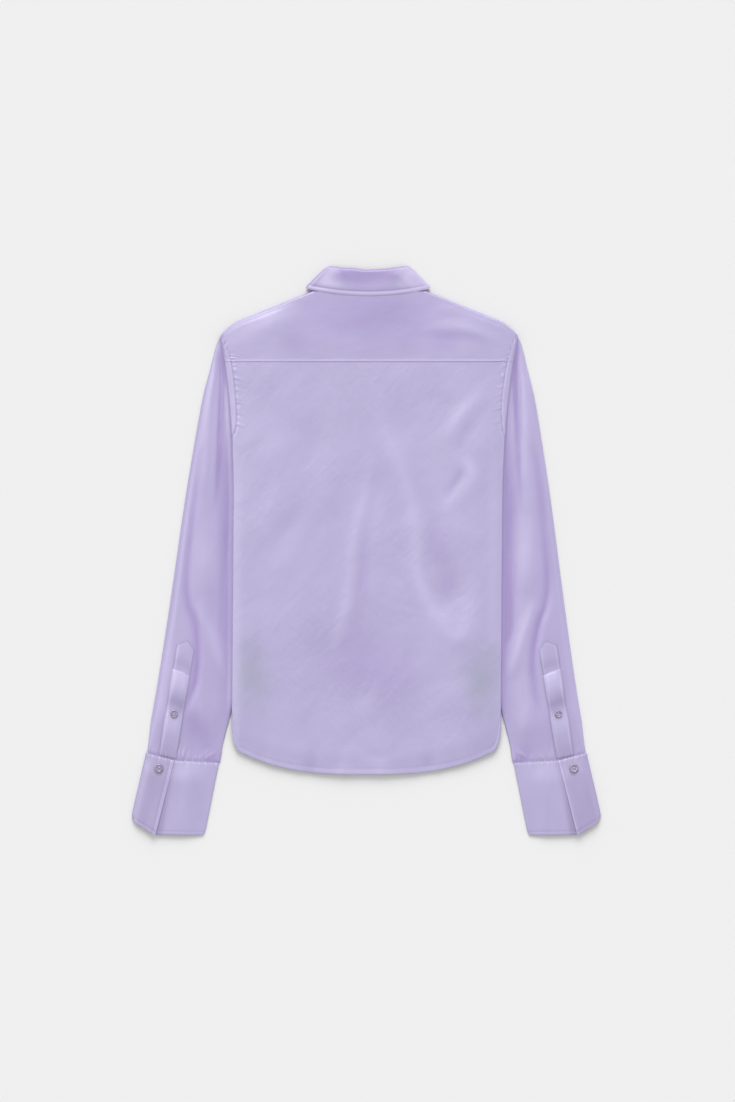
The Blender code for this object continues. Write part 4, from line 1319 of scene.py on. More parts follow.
SLEEVE_FOLDS = {
    # X grows outwards from the body on either side
    Side.LEFT: (
        Fold(4, ((191, 268, 0.0), (193, 245, -1.3), (194, 205, -1.5), (194, 165, -1.2), (196, 125, 0.0))),
        Fold(7, ((198, 262, 0.0), (202, 229, 0.9), (206, 175, 1.0), (209, 115, 0.9), (213, 70, 0.0))),
        Fold(6, ((212, 140, 0.0), (219, 112, -0.6), (230, 8, -1.1), (234, -41, -1.5), (231, -72, -1.8),
                 (222, -98, -1.9), (219, -135, -1.8), (222, -170, -1.5), (231, -197, -1.0), (238, -218, 0.0))),
        Fold(13, ((206, 44, 0.0), (206, 12, 1.2), (207, -11, 1.7), (207, -34, 1.2), (206, -58, 0.0))),
        Fold(8, ((218, -66, 0.0), (212, -87, 1.2), (202, -111, 1.7), (193, -142, 1.5), (187, -167, 0.0))),
        Fold(6, ((188, 60, 0.0), (186, 0, -0.8), (189, -60, -1.1), (190, -102, -0.9), (184, -130, 0.0))),
        Fold(7, ((236, 60, 0.0), (246, -10, 0.8), (250, -70, 0.8), (256, -120, 0.0))),
        Fold(8, ((214, -196, 0.0), (210, -226, 1.0), (206, -258, 0.0))),
        Fold(2.2, ((194, -261, 0.0), (203, -266, 0.9), (212, -271, 0.0))),
        Fold(1.8, ((200, -256, 0.0), (208, -263, 0.5), (215, -269, 0.0))),
        Fold(1.7, ((234, -252, 0.0), (237, -262, 0.7), (239, -271, 0.5))),
        Fold(1.5, ((229, -260, 0.0), (231, -266, 0.6), (232, -272, 0.4))),
        Fold(1.5, ((242, -255, 0.0), (243, -263, 0.7), (244, -271, 0.5))),
        Fold(1.5, ((221, -265, 0.0), (222, -269, 0.4), (223, -273, 0.3))),
    ),
    Side.RIGHT: (
        Fold(4, ((191, 268, 0.0), (193, 245, -1.3), (194, 205, -1.5), (195, 165, -1.2), (197, 128, 0.0))),
        Fold(7, ((199, 262, 0.0), (203, 229, 0.9), (205, 175, 1.0), (205, 112, 0.8), (206, 74, 0.0))),
        Fold(6, ((212, 140, 0.0), (220, 106, -0.7), (228, 32, -1.1), (234, -41, -1.5), (231, -72, -1.8),
                 (223, -96, -1.9), (216, -143, -1.5), (221, -192, -0.9), (228, -220, 0.0))),
        Fold(13, ((207, 44, 0.0), (207, 12, 1.2), (207, -11, 1.7), (206, -34, 1.2), (204, -58, 0.0))),
        Fold(8, ((219, -64, 0.0), (212, -86, 1.2), (202, -111, 1.7), (192, -145, 1.5), (186, -168, 0.0))),
        Fold(6, ((188, 60, 0.0), (186, 0, -0.8), (189, -60, -1.1), (190, -102, -0.9), (184, -130, 0.0))),
        Fold(7, ((240, 60, 0.0), (248, -10, 0.8), (252, -70, 0.8), (256, -120, 0.0))),
        Fold(8, ((212, -190, 0.0), (208, -222, 1.0), (205, -256, 0.0))),
        Fold(2.2, ((193, -260, 0.0), (202, -265, 0.9), (211, -270, 0.0))),
        Fold(1.7, ((231, -253, 0.0), (234, -262, 0.7), (236, -271, 0.5))),
        Fold(1.5, ((225, -262, 0.0), (227, -267, 0.6), (228, -272, 0.4))),
        Fold(1.5, ((241, -256, 0.0), (242, -263, 0.7), (243, -271, 0.5))),
    ),
}


# Painted shade and painted highlight strokes on a sleeve, shared by both
SLEEVE_PAINTED_LIGHT = {
    Side.LEFT: (
        Fold(3.6, ((190, 274, -0.5), (190, 251, -0.9), (191, 203, -0.9), (193, 155, -0.75), (195, 106, -0.5),
                   (199, 50, 0.0))),
        Fold(3, ((194, 246, 0.0), (197, 203, 0.26), (200, 150, 0.22), (203, 106, 0.12), (206, 70, 0.0))),
        Fold(3.5, ((184, 240, 0.0), (184, 203, 0.3), (183, 160, 0.2), (183, 130, 0.0))),
        Fold(6, ((203, 250, 0.0), (204, 223, 0.15), (207, 170, 0.2), (209, 115, 0.15), (212, 80, 0.0))),
        Fold(6, ((212, 140, 0.0), (219, 112, -0.2), (230, 8, -0.3), (234, -41, -0.4), (231, -72, -0.45),
                 (222, -98, -0.5), (219, -135, -0.5), (222, -170, -0.5), (231, -197, -0.3), (238, -218, 0.0))),
        Fold(11, ((206, 40, 0.0), (206, 12, 0.15), (207, -11, 0.25), (207, -34, 0.15), (206, -54, 0.0))),
        Fold(6, ((216, -70, 0.0), (211, -90, 0.2), (202, -112, 0.35), (193, -142, 0.35), (187, -168, 0.0))),
        Fold(14, ((236, -200, 0.0), (224, -220, -0.25), (208, -256, -0.15), (198, -272, -0.3))),
    ),
    Side.RIGHT: (
        Fold(3.6, ((190, 274, -0.5), (190, 251, -0.9), (191, 203, -0.9), (194, 155, -0.7), (196, 106, -0.45),
                   (200, 50, 0.0))),
        Fold(3.5, ((184, 240, 0.0), (184, 203, 0.2), (183, 160, 0.15), (183, 130, 0.0))),
        Fold(6, ((203, 250, 0.0), (204, 223, 0.2), (205, 170, 0.25), (205, 113, 0.2), (206, 80, 0.0))),
        Fold(6, ((212, 140, 0.0), (220, 106, -0.25), (228, 32, -0.3), (234, -41, -0.4), (231, -72, -0.4),
                 (223, -96, -0.5), (216, -143, -0.45), (221, -192, -0.3), (228, -220, 0.0))),
        Fold(11, ((207, 40, 0.0), (207, 12, 0.2), (207, -11, 0.35), (206, -34, 0.2), (204, -54, 0.0))),
        Fold(6, ((217, -68, 0.0), (211, -89, 0.2), (202, -112, 0.4), (192, -145, 0.35), (186, -168, 0.0))),
        Fold(12, ((222, -190, 0.0), (212, -218, 0.2), (208, -236, 0.0))),
        Fold(9, ((214, -248, 0.0), (206, -262, -0.3), (198, -272, -0.4))),
    ),
}


@dataclass(frozen=True)
class Sleeve:
    """One sleeve, a flattened tube that runs from under the body's edge to the cuff."""

    side: Side
    finish: SatinFinish
    wall: float = 0.0005
    around: int = 160
    along: int = 236
    puff: float = 0.0038
    edge_radius: float = 0.0045
    top_share: float = 0.70
    cut: Cut = Cut(0.336, 0.500, 0.1190)

    @staticmethod
    def section(v: Array) -> list[Array]:
        """Outer and inner ends and the armhole's share of the sections at shares down the sleeve."""
        knots = np.linspace(0.0, 1.0, len(SLEEVE_SECTIONS))
        columns = list(zip(*SLEEVE_SECTIONS))
        ends = [curve_through(v, knots, column) * MM for column in columns[:4]]
        return ends + [curve_through(v, knots, columns[4])]

    @staticmethod
    def cuff_seam(x: Array) -> Array:
        """The Y of the seam to the cuff."""
        xs, ys = zip(*CUFF_SEAM)
        return np.interp(x, np.array(xs) * MM, np.array(ys) * MM)

    @staticmethod
    def plan(t: Array, v: Array) -> tuple[Array, Array]:
        """Plan of a point by its share from the outer fold to the inner and down the sleeve."""
        x0, y0, x1, y1, share = Sleeve.section(v)
        fx0, fy0, fx1, fy1 = [value * MM for value in SLEEVE_SECTIONS[0][:4]]
        head_y = mix(fy0, fy1, t)
        head_x = FORM.half(head_y) - FORM.tuck_at(head_y) - 0.007
        head_x = mix(head_x, fx0, np.maximum(0.0, 1 - t / 0.08))
        x = mix(x0, x1, t) + share * (head_x - mix(fx0, fx1, t))
        y = mix(y0, y1, t) + share * (head_y - mix(fy0, fy1, t))
        end = smooth(v, 12 / 13, 1.0)
        return x, mix(y, Sleeve.cuff_seam(x) - 0.0012, end)

    @staticmethod
    def outer_line(y: Array) -> Array:
        """X of the sleeve's outer fold at Y."""
        rows = SLEEVE_SECTIONS[::-1]
        return curve_through(y, [row[1] * MM for row in rows], [row[0] * MM for row in rows])

    def lift(self, x: Array, y: Array) -> Array:
        """Height of the lower wall's outer face."""
        return 2 * FORM.pitch * smooth(x - FORM.half(y), 0.007, -0.004)

    def top(self, x: Array, y: Array) -> Array:
        """Outer face of the upper wall.

        Args:
            x: Points' X, which grows outwards on either side.
            y: Their Y.

        Returns:
            Heights.
        """
        outside = x - FORM.half(y)
        inward = np.maximum(0.0, self.outer_line(y) - x)
        flat = FORM.pitch + FORM.wall
        fill = smooth(outside, -0.002, 0.042) * smooth(y, 0.277, 0.235)
        fill = fill * mix(1.0, 0.15, smooth(y, -0.205, -0.272))
        edge = 1 - np.exp(-inward / 0.006)
        folds = 0.75 * creased(x, y, SLEEVE_FOLDS[self.side]) * smooth(outside, -0.003, 0.006)
        folds = folds * smooth(inward, 0.0, 0.010)
        above = y - self.cuff_seam(x)
        gather = np.sin(x * 1150 + 2.4 * np.sin(x * 310)) + 0.7 * np.sin(x * 1990 + 1.7 * np.sin(x * 520))
        folds = folds + 0.0003 * gather * bell(above - 0.0035, 0.0045)
        seam = 0.0006 * bell(above, 0.0025)
        return self.lift(x, y) + flat + self.puff * fill * edge + folds - seam

    def sheen(self, x: Array, y: Array, u: Array, v: Array) -> Array:
        """Painted shade beside and under the body's edge, painted highlight on the outer fold, and the table's strokes.
        """
        # Painted shade beside the body and a painted shadow under its edge, and a painted highlight along the outer
        # fold
        a = abs(x)
        hollow = smooth(a - FORM.half(y), 0.027, 0.006) * smooth(y, 0.190, 0.050)
        hollow = hollow * mix(0.35, 1.0, smooth(y, -0.165, -0.085)) * smooth(y, -0.250, -0.200)
        gap = bell(a - FORM.half(y), 0.0024)
        rim_highlight = bell(self.outer_line(y) - a, 0.0016)
        return creased(a, y, SLEEVE_PAINTED_LIGHT[self.side]) / MM - (0.53 + 0.08 * self.side.value) * hollow - 0.6 * gap + 0.4 * rim_highlight

    def place(self, u: Array, v: Array) -> tuple[Array, Array, Array]:
        """Where the tube's points go, over its upper wall, then back below."""
        over = u <= self.top_share
        t = np.where(over, u / self.top_share, (1 - u) / (1 - self.top_share))
        t = np.where(over, t, t)
        t = np.where(over, 0.5 - 0.5 * np.cos(math.pi * t) * (0.35 + 0.65 * abs(2 * t - 1)), t)
        x, y = self.plan(t, v)
        high = self.top(x, y)
        low = self.lift(x, y)
        x0, y0, x1, y1, _ = self.section(v)
        span = np.hypot(x0 - x1, y0 - y1)
        across = t * span
        near = np.minimum(across, span - across)
        radius = self.edge_radius
        bulge = np.sqrt(np.clip(1 - (1 - np.minimum(near / radius, 1.0)) ** 2, 0.0, 1.0))
        middle = (high + low) / 2
        z = np.where(over, mix(middle, high, bulge), mix(middle, low, bulge))
        out = FORM.roll * np.where(across < span / 2, 1.0, -1.0) * smooth(near, 0.006, 0.0)
        x = x + out * (x0 - x1) / span
        y = y + out * (y0 - y1) / span
        return self.side.value * x, y, z

    def build(self, wardrobe: Wardrobe) -> bpy.types.Object:
        """Make the sleeve."""
        bm = wardrobe.sheet(self.around, self.along, self.place, (self.cut.width, self.cut.length), self.sheen)
        turned = self.side is Side.LEFT
        name = f"sleeve_cloth_{self.side.word}"
        made = wardrobe.cloth(name, bm, self.finish.material(), self.wall, True, not turned)
        wardrobe.declare(made, f"sleeve_{self.side.word}", "satin", self.cut, ["front_" + self.side.word])
        return made


# ---------------------------------------------------------------------------------------------
# Cuffs and plackets

CUFF_LINES = {
    # line: x at the seam, x and y at the wrist
    "lap": (249.5, 274.0, -369.5),
    "outer": (284.5, 305.0, -350.2),
    "inner": (192.8, 211.4, -369.3),
    "under": (259.0, 276.0, -368.2),
}

PLACKET = {
    # corner: x, y
    "outer_top": (247.5, -122.0),
    "tip": (232.5, -116.0),
    "inner_top": (224.0, -129.0),
    "outer_low": (270.0, -264.0),
    "inner_low": (247.0, -269.5),
}


@dataclass(frozen=True)
class Cuff:
    """One cuff, a stiffened band that laps over itself."""

    side: Side
    finish: SatinFinish
    wall: float = 0.0009
    across: int = 150
    along: int = 64
    stitch_in: float = 0.0042
    loft: float = 0.0024
    cut: Cut = Cut(0.218, 0.100, 0.0212)

    # Share of the columns at each line, and the heights of the outer face there
    PATH = (
        # columns' share, line, across from the first line to the second, height
        (0.00, "lap", "lap", 3.7),
        (0.20, "outer", "outer", 3.7),
        (0.28, "outer", "outer", 0.0),
        (0.60, "inner", "inner", 0.0),
        (0.67, "inner", "inner", 2.35),
        (1.00, "under", "under", 2.35),
    )

    @staticmethod
    def along_line(name: str, v: Array) -> tuple[Array, Array]:
        """Point down one of the cuff's lines."""
        x0, x1, y1 = [value * MM for value in CUFF_LINES[name]]
        y0 = Sleeve.cuff_seam(np.float64(x0)) - 0.0003
        return mix(x0, x1, v), mix(y0, y1, v)

    def place(self, u: Array, v: Array) -> tuple[Array, Array, Array]:
        """Where the band's points go, from the lap's edge round to its covered end."""
        shares = [row[0] for row in self.PATH]
        ends = [self.along_line(row[1], v) for row in self.PATH]
        heights = [row[3] * MM for row in self.PATH]
        x, y, z = (np.zeros_like(u) for _ in range(3))
        for i in range(len(shares) - 1):
            here = (u >= shares[i]) & (u <= shares[i + 1])
            t = np.clip((u - shares[i]) / (shares[i + 1] - shares[i]), 0.0, 1.0)
            (xa, ya), (xb, yb) = ends[i], ends[i + 1]
            radius = abs(heights[i] - heights[i + 1]) / 2
            turn = math.pi * t
            out = radius * np.sin(turn) * (1.0 if i == 1 else -1.0) if radius else 0.0
            level = (heights[i] + heights[i + 1]) / 2 + (heights[i] - heights[i + 1]) / 2 * np.cos(turn)
            x = np.where(here, mix(xa, xb, t) + out, x)
            straight = mix(ya, yb, t)
            if not radius:
                (xc, yc), (xd, yd) = (self.along_line(self.PATH[j][1], 0.0) for j in (i, i + 1))
                bent = Sleeve.cuff_seam(mix(xc, xd, t)) - 0.0003 - mix(yc, yd, t)
                straight = straight + bent * (1 - v)
            y = np.where(here, straight, y)
            z = np.where(here, level, z)
        corner = bell(u - 0.24, 0.045) * np.exp(-(1 - v) * 0.098 / 0.0045)
        x, y = x - 0.0040 * corner, y + 0.0030 * corner
        corner = bell(u - 0.635, 0.030) * np.exp(-(1 - v) * 0.098 / 0.0030)
        x, y = x + 0.0020 * corner, y + 0.0020 * corner
        up = np.where(u < 0.24, 1.0, np.where(u > 0.64, 1.0, 0.0))
        return self.side.value * x, y, z + up * self.relief(x, y, u, v)

    def relief(self, x: Array, y: Array, u: Array, v: Array) -> Array:
        """Height of the stitched edges and soft creases of the upper layers."""
        length = 0.098
        from_wrist = (1 - v) * length
        from_seam = v * length
        from_lap = u / 0.20 * 0.033
        groove = -0.00025 * bell(from_wrist - self.stitch_in, 0.0011)
        groove -= 0.0003 * bell(from_wrist, 0.0006) + 0.0003 * bell(from_seam, 0.0012)
        lap = -0.0003 * bell(from_lap - self.stitch_in, 0.0010) - 0.0004 * bell(from_lap, 0.0009)
        flap = u < 0.24
        fold = 0.0006 * bell(x - 0.232, 0.012) * smooth(v, 0.0, 0.5) * ~flap
        pucker = 0.00015 * np.sin(x * 1150 + 2.4 * np.sin(x * 310)) * bell(from_seam - 0.002, 0.0040)
        across = np.where(flap, 1 - 0.75 * np.minimum(1.0, u / 0.20) ** 6, np.minimum(1.0, (u - 0.65) / 0.20))
        arch = self.loft * smooth(across, 0.0, 1.0) * smooth(from_seam, -0.006, 0.030)
        proud = 0.0010 * smooth(from_lap, 0.016, 0.0) * smooth(from_wrist, 0.09, 0.0) * flap
        return groove + np.where(flap, lap, 0.0) + fold + pucker + arch + proud

    def sheen(self, x: Array, y: Array, u: Array, v: Array) -> Array:
        """Painted shade over the flap with a painted highlight on its edge, and a painted shadow beside it."""
        from_lap, from_wrist, from_seam = u / 0.20 * 0.033, (1 - v) * 0.098, v * 0.098
        lap_x = self.along_line("lap", v)[0]
        flap = u < 0.24
        # Painted light: painted highlights along the edges, painted shade over the flap and a painted shadow beside the
        # flap's edge
        painted_edging = 0.12 * bell(from_seam - 0.0012, 0.0010) - 0.25 * bell(from_wrist - self.stitch_in, 0.0008)
        flap_painted_light = -0.30 + 0.8 * bell(from_lap - 0.0010, 0.0010)
        flap_painted_light += 0.3 * bell(from_wrist - 0.0014, 0.0011) - 0.2 * bell(from_wrist - self.stitch_in - 0.0006, 0.0016)
        beside = -(0.35 + 0.6 * smooth(v, 0.35, 0.95)) * bell(lap_x - 0.0015 - abs(x), 0.0030 + 0.0030 * v)
        return painted_edging + np.where(flap, flap_painted_light, beside)

    def build(self, wardrobe: Wardrobe) -> bpy.types.Object:
        """Make the cuff."""
        bm = wardrobe.sheet(self.across, self.along, self.place, (self.cut.width, self.cut.length), self.sheen)
        turned = self.side is Side.LEFT
        name = f"cuff_cloth_{self.side.word}"
        made = wardrobe.cloth(name, bm, self.finish.material(), self.wall, flip=turned)
        wardrobe.declare(made, f"cuff_{self.side.word}", "satin_cuff", self.cut, ["sleeve_" + self.side.word])
        return made


@dataclass(frozen=True)
class SleevePlacket:
    """The house-topped strip above the cuff, on the sleeve's upper wall."""

    side: Side
    finish: SatinFinish
    sleeve: Sleeve
    wall: float = 0.0006
    across: int = 24
    along: int = 96
    rise: float = 0.0012
    cut: Cut = Cut(0.0235, 0.150, 0.0035)

    PUFFS = (
        # share down the strip, height, painted light (painted highlight where positive, painted shade where negative)
        (0.00, 0.2, 0.0),
        (0.10, 0.5, 0.0),
        (0.20, 0.0, -0.1),
        (0.24, 0.5, 0.3),
        (0.30, 1.4, 0.4),
        (0.37, 1.8, 0.35),
        (0.45, 1.2, -0.1),
        (0.52, 0.3, -0.45),
        (0.58, 0.2, -0.1),
        (0.65, 0.9, 0.35),
        (0.73, 1.4, 0.6),
        (0.80, 1.3, 0.3),
        (0.88, 0.9, 0.1),
        (0.95, 0.4, -0.15),
        (1.00, 0.1, -0.25),
    )
    BAR_AT = 0.225

    @staticmethod
    def corner(name: str) -> Array:
        """X and Y of a corner, in metres."""
        return np.array(PLACKET[name]) * MM

    def plan(self, u: Array, v: Array) -> tuple[Array, Array]:
        """Plan of a point by its share from the outer edge to the inner and down the strip."""
        outer, tip, inner = (self.corner(name) for name in ("outer_top", "tip", "inner_top"))
        top_x = np.interp(u, (0.0, 0.5, 1.0), (outer[0], tip[0], inner[0]))
        top_y = np.interp(u, (0.0, 0.5, 1.0), (outer[1], tip[1], inner[1]))
        low = mix(self.corner("outer_low")[:, None], self.corner("inner_low")[:, None], u)
        level = mix(outer[1], inner[1], u)
        peak = (top_y - level) * np.clip(1 - v / 0.16, 0.0, 1.0)
        return mix(top_x, low[0], v), mix(level, low[1], v) + peak

    def top(self, u: Array, v: Array) -> Array:
        """Outer face of the strip."""
        x, y = self.plan(u, v)
        edge = np.minimum(u, 1 - u) * 0.0235
        z = self.sleeve.top(x, y) + self.rise
        shares, heights, _ = zip(*self.PUFFS)
        z = z + MM * curve_through(v - 0.02 * (u - 0.5), shares, heights) * (0.35 + 0.65 * smooth(edge, 0.0, 0.006))
        bar = bell((v - self.BAR_AT - 0.02 * (u - 0.5)) * 0.15, 0.0012)
        return z - 0.0005 * bell(edge - 0.0016, 0.0007) - 0.0005 * bar - 0.0003 * bell(edge, 0.0007)

    def place(self, u: Array, v: Array) -> tuple[Array, Array, Array]:
        """Where the strip's points go."""
        x, y = self.plan(u, v)
        return self.side.value * x, y, self.top(u, v)

    def sheen(self, x: Array, y: Array, u: Array, v: Array) -> Array:
        """Painted highlight and shade of the table, slanting across the strip, and a painted dark outline."""
        shares, _, painted_marks = zip(*self.PUFFS)
        # Painted dark outline at the edges with a painted lighter line just inside it
        edge = np.minimum(np.minimum(u, 1 - u) * 0.0235, v * 0.142)
        painted_outline = 0.3 * bell(edge - 0.0024, 0.0008) - 0.9 * bell(edge, 0.0010)
        return curve_through(v - 0.025 * (u - 0.5), shares, painted_marks) + painted_outline

    def build(self, wardrobe: Wardrobe) -> bpy.types.Object:
        """Make the strip."""
        bm = wardrobe.sheet(self.across, self.along, self.place, (self.cut.width, self.cut.length), self.sheen)
        turned = self.side is Side.RIGHT
        name = f"placket_cloth_{self.side.word}"
        made = wardrobe.cloth(name, bm, self.finish.material(), self.wall, flip=turned)
        node = f"sleeve_placket_{self.side.word}"
        wardrobe.declare(made, node, "satin_cuff", self.cut, [f"sleeve_cloth_{self.side.word}"])
        return made


# ---------------------------------------------------------------------------------------------
# Buttons


@dataclass(frozen=True)
class PearlFinish:
    """Pearly plastic of the buttons."""

    name: str = "pearly_button"
    colour: Colour = (0.17, 0.13, 0.23, 1.0)
    light: Colour = (0.40, 0.34, 0.49, 1.0)

    def material(self) -> bpy.types.Material:
        """Build the material."""
        tree = Shading(self.name)
        place = tree.coordinates()
        cloud = tree.noise(place, 420.0, 3.0, 0.6)
        swirl = tree.noise(tree.mapped(place, (1.0, 2.4, 1.0), 0.6), 180.0, 2.0)
        pearl = tree.colour_mix((cloud * 0.6 + swirl * 0.4).step(0.35, 0.65), self.colour, self.light)
        return tree.finish({
            "Base Color": pearl,
            "Roughness": cloud * 0.12 + 0.16,
            "Coat Weight": 0.5,
            "Coat Roughness": 0.08,
            "Normal": tree.bump(cloud, 0.00006),
        })


@dataclass(frozen=True)
class ThreadFinish:
    """Sewing thread, plied."""

    name: str
    colour: Colour = (0.60, 0.53, 0.78, 1.0)

    def material(self) -> bpy.types.Material:
        """Build the material."""
        tree = Shading(self.name)
        place = tree.coordinates()
        ply = tree.noise(tree.mapped(place, (1.0, 2.5, 1.0), 0.7), 1800.0, 1.0)
        return tree.finish({
            "Base Color": tree.colour_mix(ply, shade(self.colour, 0.8), shade(self.colour, 1.1)),
            "Roughness": ply * 0.15 + 0.45,
            "Normal": tree.bump(ply, 0.00005),
        })


@dataclass(frozen=True)
class Button:
    """A dished button with four holes, sewn on with two bars of thread."""

    radius: float
    thickness: float
    segments: int = 40
    hole: float = 0.00072
    hole_out: float = 0.0015

    def profile(self) -> list[tuple[float, float]]:
        """Radius and height down the button's side, from the middle of its face."""
        half, r = self.thickness / 2, self.radius
        return [
            (0.0, half - 0.0006), (r * 0.50, half - 0.0006), (r * 0.60, half - 0.0005),
            (r * 0.68, half - 0.0001), (r * 0.76, half), (r * 0.90, half - 0.0001),
            (r * 0.98, half - 0.0005), (r, 0.0), (r * 0.97, -half + 0.0004),
            (r * 0.85, -half), (0.0, -half),
        ]

    def mesh(self, wardrobe: Wardrobe, name: str, material: bpy.types.Material) -> bpy.types.Object:
        """Make the button at the origin, with its holes cut."""
        bm = bmesh.new()
        verts = [bm.verts.new((r, 0.0, z)) for r, z in self.profile()]
        edges = [bm.edges.new(pair) for pair in zip(verts, verts[1:])]
        bmesh.ops.spin(
            bm, geom=verts + edges, cent=(0, 0, 0), axis=(0, 0, 1), angle=2 * math.pi,
            steps=self.segments, use_merge=True, use_duplicate=False,
        )
        bmesh.ops.remove_doubles(bm, verts=bm.verts, dist=1e-6)
        bmesh.ops.recalc_face_normals(bm, faces=bm.faces)
        made = wardrobe.object(name, bm, material)
        holes = bmesh.new()
        for angle in (math.pi / 4 + math.pi / 2 * i for i in range(4)):
            at = Matrix.Translation((self.hole_out * math.cos(angle), self.hole_out * math.sin(angle), 0))
            bmesh.ops.create_cone(
                holes, cap_ends=True, segments=14, radius1=self.hole, radius2=self.hole,
                depth=3 * self.thickness, matrix=at,
            )
        wardrobe.carve(made, holes)
        made.data.set_sharp_from_angle(angle=math.radians(45))
        return made

    def sew(self, wardrobe: Wardrobe, name: str, at: Vector, turn: float, down: bool,
            pearl: bpy.types.Material, thread: bpy.types.Material) -> None:
        """Make the button and its thread and put them in place.

        Args:
            wardrobe: What makes pieces.
            name: The button's node.
            at: The middle of its lower side.
            turn: Its turn about Z.
            down: Whether its face looks down.
            pearl: Its material.
            thread: The thread's material.
        """
        flip = Matrix.Rotation(math.pi if down else 0.0, 4, "X")
        lifted = Matrix.Translation(at + Vector((0, 0, self.thickness / 2)))
        place = lifted @ Matrix.Rotation(turn, 4, "Z") @ flip
        made = self.mesh(wardrobe, f"{name}_pearl", pearl)
        made.data.transform(place)
        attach(made, BODY)
        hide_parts(name)
        bm = bmesh.new()
        reach = self.hole_out * math.cos(math.pi / 4)
        for y in (-reach, reach):
            shape = Matrix.Translation((0, y, self.thickness / 2 - 0.0004)) @ Matrix.Diagonal(
                (2 * reach + 0.0012, 0.0010, 0.0010, 1.0)
            )
            bmesh.ops.create_uvsphere(bm, u_segments=12, v_segments=8, radius=0.5, matrix=shape)
        bmesh.ops.transform(bm, matrix=place, verts=bm.verts)
        sewn = wardrobe.object(f"{name}_thread", bm, thread)
        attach(sewn, BODY)
        log.info("%s sewn on", name)


# ---------------------------------------------------------------------------------------------
# Stitching


@dataclass(frozen=True)
class StitchRun:
    """A row of stitches along a line.

    Attributes:
        points: The line, as X, Y and height of the cloth's face.
        pitch: Distance from stitch to stitch.
        length: Length of a stitch.
        thick: Its thickness.
    """

    points: Array
    pitch: float = 0.0026
    length: float = 0.0019
    thick: float = 0.00034

    def sew(self, bm: bmesh.types.BMesh) -> None:
        """Add the stitches to a bmesh."""
        steps = np.linalg.norm(np.diff(self.points, axis=0), axis=1)
        along = np.concatenate(([0.0], np.cumsum(steps)))
        count = int(along[-1] / self.pitch)
        for i in range(count):
            at = [(i + 0.5) * self.pitch + d for d in (-self.length / 2, self.length / 2)]
            start, end = (Vector([np.interp(a, along, self.points[:, k]) for k in range(3)]) for a in at)
            run = end - start
            frame = run.to_track_quat("X", "Z").to_matrix().to_4x4()
            size = Matrix.Diagonal((run.length, self.thick, self.thick, 1.0))
            place = Matrix.Translation((start + end) / 2) @ frame @ size
            bmesh.ops.create_uvsphere(bm, u_segments=6, v_segments=4, radius=0.5, matrix=place)


def leaned(x: Array, y: Array, z: Array) -> Array:
    """Points with the shirt's lean, as rows."""
    return np.stack((x + FORM.lean(y), y, z), axis=1)


